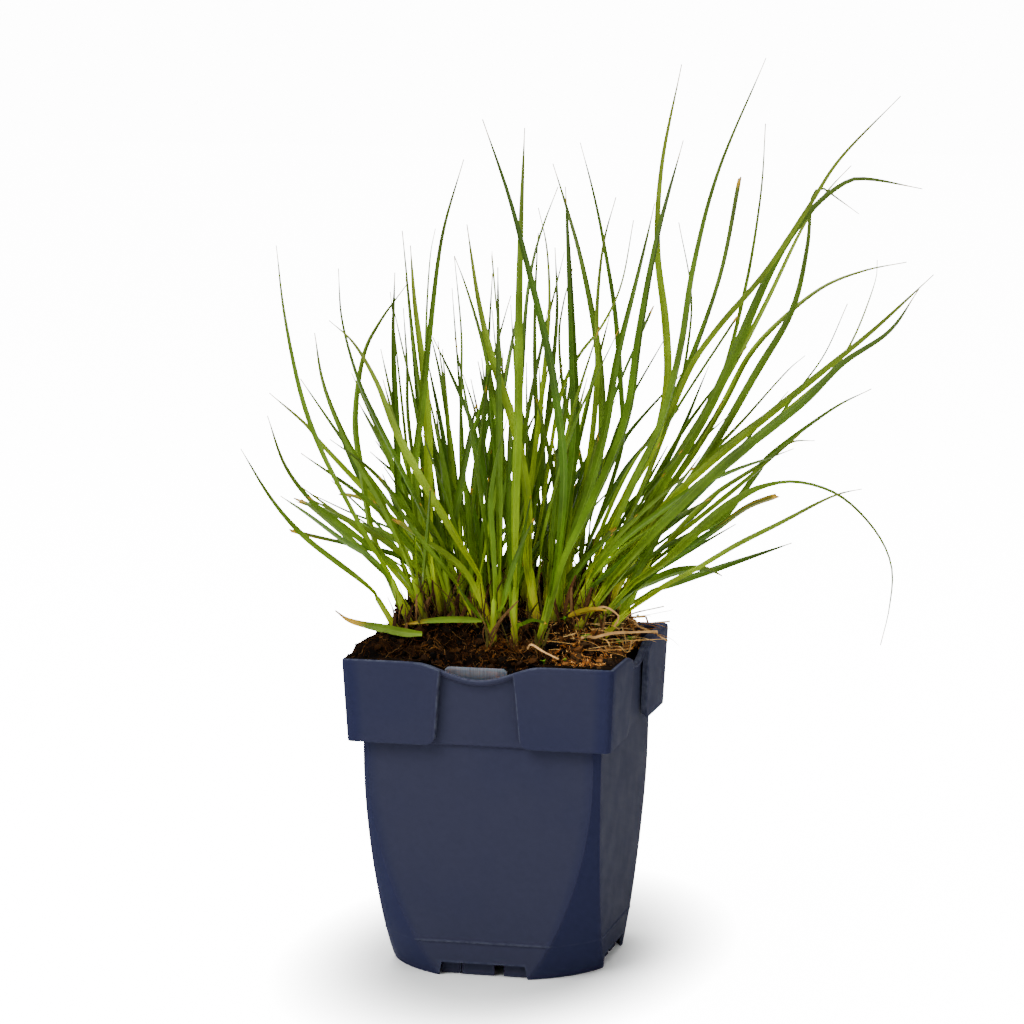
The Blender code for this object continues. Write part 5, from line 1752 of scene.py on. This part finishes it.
def build_seedlings(values):
    """Small weeds with paired leaves, and a little moss by the left rim."""
    chance = random.Random(SEEDLING_SEED)
    skin = Skin()
    for across, height, size in SEEDLINGS:
        foot = on_soil(across, height)
        foot.z = soil_surface(foot.x, foot.y) - 0.3
        top = foot + Vector((chance.uniform(-0.5, 0.5), chance.uniform(-0.5, 0.2), size * 1.1))
        green = SEEDLING_GREENS[0 if chance.random() < 0.6 else 1]
        add_fibre(skin, [foot, foot.lerp(top, 0.5) + Vector((0.2, 0.0, 0.1)), top], 0.55, green)
        start = chance.uniform(0.0, 3.14)
        for k in range(4):
            angle = start + k * 1.57 + chance.uniform(-0.3, 0.3)
            way = Vector((math.cos(angle), math.sin(angle), chance.uniform(0.15, 0.7)))
            add_leaflet(skin, top - UP * (0.25 * k), way, size * chance.uniform(0.8, 1.3), size * 0.62, green)
    for _ in range(values.moss):
        across = chance.gauss(MOSS_ACROSS, 3.0)
        spot = slid_back(across, MOSS_HEIGHT, chance.uniform(-8.0, 26.0))
        if side_reach(spot) > SOIL_HALF_TOP - 1.0:
            continue
        spot.z = soil_surface(spot.x, spot.y)
        way = Vector((chance.uniform(-1.0, 1.0), chance.uniform(-1.0, 1.0), 1.2))
        add_leaflet(skin, spot, way, chance.uniform(0.8, 2.0), 0.6, MOSS_GREEN)
    piece = skin.piece("seedlings", litter_paint("seedling_green"))
    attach(piece, BODY)


def add_dead_stalk(skin, chance):
    """A thin tan stalk that lies to the right over the soil, clear of the rim."""
    across = STALK_RIGHT - STALK_SPREAD * chance.random() ** 1.5
    height = chance.uniform(149.0, 168.0)
    point = on_soil(across, height)
    way = ACROSS * chance.uniform(-0.3, 1.0) + AWAY * chance.gauss(0.1, 0.5)
    length = 7.0 + 27.0 * chance.random() ** 1.6
    rise = chance.uniform(-0.1, 0.45)
    path = []
    for k in range(STALK_STEPS + 1):
        reach = side_reach(point)
        ground = soil_surface(point.x, point.y) + 0.5 if reach < SOIL_HALF_TOP else RIM_TOP + 1.2
        path.append(Vector((point.x, point.y, max(point.z, ground) if reach < RIM_HALF + 3.0 else point.z)))
        way = (way + Vector((chance.gauss(0.0, 0.25), chance.gauss(0.0, 0.25), 0.0))).normalized()
        point = point + (way + UP * (rise * (1.0 - 0.5 * k))) * (length / STALK_STEPS)
    add_fibre(skin, smooth_path(path, 12), chance.uniform(0.3, 0.75), chance.choice(STALK_COLOURS), sides=4)


def build_dead_sheaths(values):
    """Brown papery remains of old leaves round the shoots' feet, and wiry roots near the front."""
    chance = random.Random(SHEATH_SEED)
    skin = Skin()
    for foot, _ in SHOOTS:
        for _ in range(values.sheaths):
            across = foot[0] + chance.uniform(-5.0, 5.0)
            height = foot[1] + chance.uniform(-3.0, 1.0)
            start = on_soil(across, height)
            lean = Vector((chance.uniform(-0.5, 0.5), chance.uniform(-0.5, 0.2), 1.0))
            length = 3.0 + 22.0 * chance.random() ** 2
            bend = ACROSS * chance.gauss(0.0, 0.25 * length) + AWAY * chance.gauss(0.0, 0.15 * length)
            path = [start + lean * (length * share) + bend * share * share
                    for share in (-0.1, 0.3, 0.65, 1.0)]
            tone = chance.choice(SHEATH_COLOURS)
            add_fibre(skin, smooth_path(path, 8), chance.uniform(0.7, 2.2), tone, flat=0.22, sides=5)
    for _ in range(values.wires):
        across = chance.gauss(4.0, 9.0)
        height = WIRE_HEIGHT + chance.gauss(0.0, 1.5)
        path = [on_soil(across, height)]
        for _ in range(WIRE_STEPS):
            step = Vector((chance.gauss(0.0, 1.6), chance.gauss(-0.4, 1.2), chance.gauss(0.1, 1.1)))
            path.append(path[-1] + step)
        for point in path:
            if side_reach(point) < SOIL_HALF_TOP:
                point.z = max(point.z, soil_surface(point.x, point.y))
        add_fibre(skin, smooth_path(path, 12), chance.uniform(0.2, 0.45), chance.choice(FIBRE_COLOURS))
    for _ in range(values.dead_stalks):
        add_dead_stalk(skin, chance)
    piece = skin.piece("dead_sheaths", litter_paint("dead_sheath"))
    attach(piece, BODY)


# Stage

WHITE = (1.0, 1.0, 1.0, 1.0)
FADE_OVAL = (1.55, 0.9, 1.0)
FADE_POWER = 2.5
LAMP_TARGET = Vector((0.0, 0.0, 0.15))


def floor_paint(values):
    """A matt pale floor that turns into plain white away from the pot."""
    paint = Paint("pale_floor", 0.9)
    paint.set("Base Color", (*values.floor_colour, 1.0))
    paint.set("Specular IOR Level", 0.1)
    offset = paint.node("ShaderNodeVectorMath", {0: paint.here(), 1: tuple(AXIS)}, operation="SUBTRACT")
    oval = paint.node("ShaderNodeVectorMath", {0: offset.outputs["Vector"], 1: FADE_OVAL},
                      operation="MULTIPLY").outputs["Vector"]
    away = paint.node("ShaderNodeVectorMath", {0: oval}, operation="LENGTH").outputs["Value"]
    seen = paint.node("ShaderNodeLightPath", {}).outputs["Is Camera Ray"]
    fade = paint.sum(paint.span(away, values.fade_start, values.fade_end), FADE_POWER, "POWER")
    paint.set("Emission Color", WHITE)
    paint.set("Emission Strength", paint.product(paint.product(fade, values.white_strength), seen))
    return paint.material


def build_room(values):
    """Soft light from all round, behind which the camera sees plain white."""
    world = bpy.data.worlds.new("bright_room")
    bpy.context.scene.world = world
    room = Nodes(world)
    way = room.node("ShaderNodeTexCoord", {}).outputs["Generated"]
    behind = room.node("ShaderNodeVectorMath", {0: way, 1: AWAY}, operation="DOT_PRODUCT").outputs["Value"]
    dimmed = room.span(behind, -0.1, 0.7, values.room_strength, values.room_strength * values.dim_behind)
    soft = room.nodes["Background"]
    room.feed(soft.inputs["Color"], (*values.room_colour, 1.0))
    room.feed(soft.inputs["Strength"], dimmed)
    white = room.node("ShaderNodeBackground", {"Color": WHITE, "Strength": values.white_strength})
    seen = room.node("ShaderNodeLightPath", {}).outputs["Is Camera Ray"]
    either = room.node("ShaderNodeMixShader", {0: seen, 1: soft.outputs["Background"],
                                               2: white.outputs["Background"]})
    room.feed(room.nodes["World Output"].inputs["Surface"], either.outputs["Shader"])


def looking(way):
    """The rotation of a lamp or a camera that faces a way."""
    return way.to_track_quat("-Z", "Y").to_euler()


def build_stage(values):
    """A pale floor, a bright even surrounding, soft lamps, and the camera at the photograph's place."""
    bpy.ops.mesh.primitive_plane_add(size=values.floor_size, location=(0.0, 0.0, 0.0))
    floor = bpy.context.object
    floor.name = "floor"
    floor.data.materials.append(floor_paint(values))
    build_room(values)
    for name, place, size, power in (("key_lamp", (-0.9, -1.3, 1.6), 1.2, values.key_power),
                                     ("fill_lamp", (1.5, -0.9, 1.1), 1.4, values.fill_power),
                                     ("top_lamp", (-0.2, 0.5, 2.0), 1.5, values.top_power)):
        light = bpy.data.lights.new(name, "AREA")
        light.size = size
        light.energy = power
        lamp = bpy.data.objects.new(name, light)
        lamp.location = AXIS + Vector(place)
        lamp.rotation_euler = looking(AXIS + LAMP_TARGET - lamp.location)
        bpy.context.scene.collection.objects.link(lamp)
    camera_data = bpy.data.cameras.new("camera")
    camera_data.lens = values.lens
    camera = bpy.data.objects.new("camera", camera_data)
    camera.location = AXIS + VIEWER * MM
    camera.rotation_euler = looking(AWAY * math.cos(values.tilt) - UP * math.sin(values.tilt))
    bpy.context.scene.collection.objects.link(camera)
    bpy.context.scene.camera = camera


# Settings

def tint_setting(name, description, default):
    return FloatVectorProperty(name=name, description=description, subtype="COLOR", default=default)


def angle_setting(name, description, default):
    return FloatProperty(name=name, description=description, subtype="ANGLE", default=default)


def count_setting(name, description, default):
    return IntProperty(name=name, description=description, default=default)


def number_setting(name, description, default):
    return FloatProperty(name=name, description=description, default=default)


def length_setting(name, description, default):
    return FloatProperty(name=name, description=description, unit="LENGTH", default=default)


class PotValues(bpy.types.PropertyGroup):
    # The flat sides' slate holds a painted sheen of the bright room. The corners' blue shows less painted
    # reflection.
    sheen_slate: tint_setting("Slate", "Colour of the flat sides", (0.0240, 0.0252, 0.0450))
    blue: tint_setting("Blue", "Colour round the corners", (0.0158, 0.0177, 0.0425))


class SoilValues(bpy.types.PropertyGroup):
    grid: count_setting("Grid", "Cells along one side of the soil's top", 150)
    crumbs: count_setting("Crumbs", "Loose crumbs on the soil", 2600)
    clods: count_setting("Clods", "Larger clods on the soil", 90)
    chips: count_setting("Chips", "Chips of bark on the soil", 560)
    fibres: count_setting("Fibres", "Fine roots on the soil", 1500)
    tufts: count_setting("Tufts", "Tufts of fine roots", 44)
    moss: count_setting("Moss", "Moss leaves by the left rim", 160)
    sheaths: count_setting("Sheaths", "Dead sheaths at each shoot", 12)
    wires: count_setting("Wires", "Wiry roots near the front", 120)
    dead_stalks: count_setting("Dead stalks", "Thin dead stalks at the right", 70)
    peat_dark: tint_setting("Dark peat", "Colour in the hollows", (0.0009, 0.0005, 0.0003))
    peat_mid: tint_setting("Peat", "Colour of most peat", (0.0045, 0.002, 0.0008))
    peat_rust: tint_setting("Rusty peat", "Colour of fibrous lumps", (0.032, 0.012, 0.003))


class GrassValues(bpy.types.PropertyGroup):
    blade_steps: count_setting("Blade steps", "Most steps along one blade", 56)
    fillers: count_setting("Inner blades", "Narrow blades tried in the heart of the clump", 3400)
    filler_tries: count_setting("Inner tries", "Depths tried for each inner blade", 30)
    fold_at_base: angle_setting("Fold at base", "How far a blade is folded by its stem", 1.05)
    fold_open: angle_setting("Open fold", "The fold left along the blade", 0.38)
    lime: tint_setting("Lime", "Colour near the base", (0.27, 0.38, 0.006))
    green: tint_setting("Green", "Colour of the lower blade", (0.120, 0.20, 0.004))
    deep: tint_setting("Deep green", "Colour of the upper blade", (0.080, 0.142, 0.006))
    dusk: tint_setting("Dusky green", "Colour near the tips", (0.072, 0.098, 0.014))
    yellow: tint_setting("Yellow", "Colour of a fading blade", (0.38, 0.22, 0.012))
    brown: tint_setting("Brown", "Colour of a dead tip", (0.11, 0.045, 0.014))


class StageValues(bpy.types.PropertyGroup):
    floor_size: length_setting("Floor size", "Side of the floor", 12.0)
    floor_colour: tint_setting("Floor colour", "Colour of the floor", (0.86, 0.87, 0.86))
    room_colour: tint_setting("Room colour", "Colour of the surroundings", (1.0, 1.0, 1.0))
    room_strength: number_setting("Room strength", "Brightness of the surroundings", 0.45)
    dim_behind: number_setting("Dim behind", "Share of the room's light left behind the plant", 0.25)
    white_strength: number_setting("White", "Brightness that the camera sees behind the plant", 14.0)
    fade_start: length_setting("Fade start", "Where the floor starts turning white", 0.07)
    fade_end: length_setting("Fade end", "Where the floor is all white", 0.17)
    key_power: number_setting("Key lamp", "Power of the lamp at the left", 58.0)
    fill_power: number_setting("Fill lamp", "Power of the lamp at the right", 8.0)
    top_power: number_setting("Top lamp", "Power of the lamp above", 85.0)
    lens: number_setting("Lens", "Focal length in mm for a 36 mm sensor", 145.85)
    tilt: angle_setting("Tilt", "How far the camera looks down", math.radians(8.65))


# Operators and panel

class BuildPot(bpy.types.Operator):
    """Build the square pot with its hanging corner flaps"""
    bl_idname = "switchgrass.build_pot"
    bl_label = "Build the pot"

    def execute(self, context):
        build_pot(context.scene.switchgrass_pot)
        return {"FINISHED"}


class BuildClip(bpy.types.Operator):
    """Build the frosted clip on the front rim"""
    bl_idname = "switchgrass.build_clip"
    bl_label = "Build the clip"

    def execute(self, context):
        build_clip()
        return {"FINISHED"}


class BuildSoil(bpy.types.Operator):
    """Build the soil with its crumbs, chips and fine roots"""
    bl_idname = "switchgrass.build_soil"
    bl_label = "Build the soil"

    def execute(self, context):
        values = context.scene.switchgrass_soil
        build_soil(values)
        build_litter(values)
        build_seedlings(values)
        build_dead_sheaths(values)
        return {"FINISHED"}


class BuildGrass(bpy.types.Operator):
    """Build every shoot, and the straws and blades that lie loose"""
    bl_idname = "switchgrass.build_grass"
    bl_label = "Build the grass"

    def execute(self, context):
        values = context.scene.switchgrass_grass
        taken = build_shoots(values)
        build_strands(values, taken)
        build_inner_blades(values, taken)
        return {"FINISHED"}


class BuildStage(bpy.types.Operator):
    """Build the floor, the lamps and the camera"""
    bl_idname = "switchgrass.build_stage"
    bl_label = "Build the stage"

    def execute(self, context):
        build_stage(context.scene.switchgrass_stage)
        return {"FINISHED"}


class SwitchgrassPanel(bpy.types.Panel):
    """Settings and buttons for the potted switchgrass"""
    bl_idname = "VIEW3D_PT_switchgrass"
    bl_label = "Potted switchgrass"
    bl_space_type = "VIEW_3D"
    bl_region_type = "UI"
    bl_category = "Switchgrass"

    def draw(self, context):
        for operator in OPERATORS:
            self.layout.operator(operator.bl_idname)
        for group in GROUPS:
            values = getattr(context.scene, group)
            for name in values.__annotations__:
                self.layout.prop(values, name)


OPERATORS = (BuildPot, BuildClip, BuildSoil, BuildGrass, BuildStage)
GROUPS = {"switchgrass_pot": PotValues, "switchgrass_soil": SoilValues, "switchgrass_grass": GrassValues,
          "switchgrass_stage": StageValues}


def register():
    for kind in (*GROUPS.values(), *OPERATORS, SwitchgrassPanel):
        bpy.utils.register_class(kind)
    for name, kind in GROUPS.items():
        setattr(bpy.types.Scene, name, PointerProperty(type=kind))


def unregister():
    for name in GROUPS:
        delattr(bpy.types.Scene, name)
    for kind in (SwitchgrassPanel, *reversed(OPERATORS), *reversed(GROUPS.values())):
        bpy.utils.unregister_class(kind)


def main():
    register()
    bpy.ops.switchgrass.build_pot()
    bpy.ops.switchgrass.build_clip()
    bpy.ops.switchgrass.build_soil()
    bpy.ops.switchgrass.build_grass()
    bpy.ops.switchgrass.build_stage()


if __name__ == "__main__":
    main()
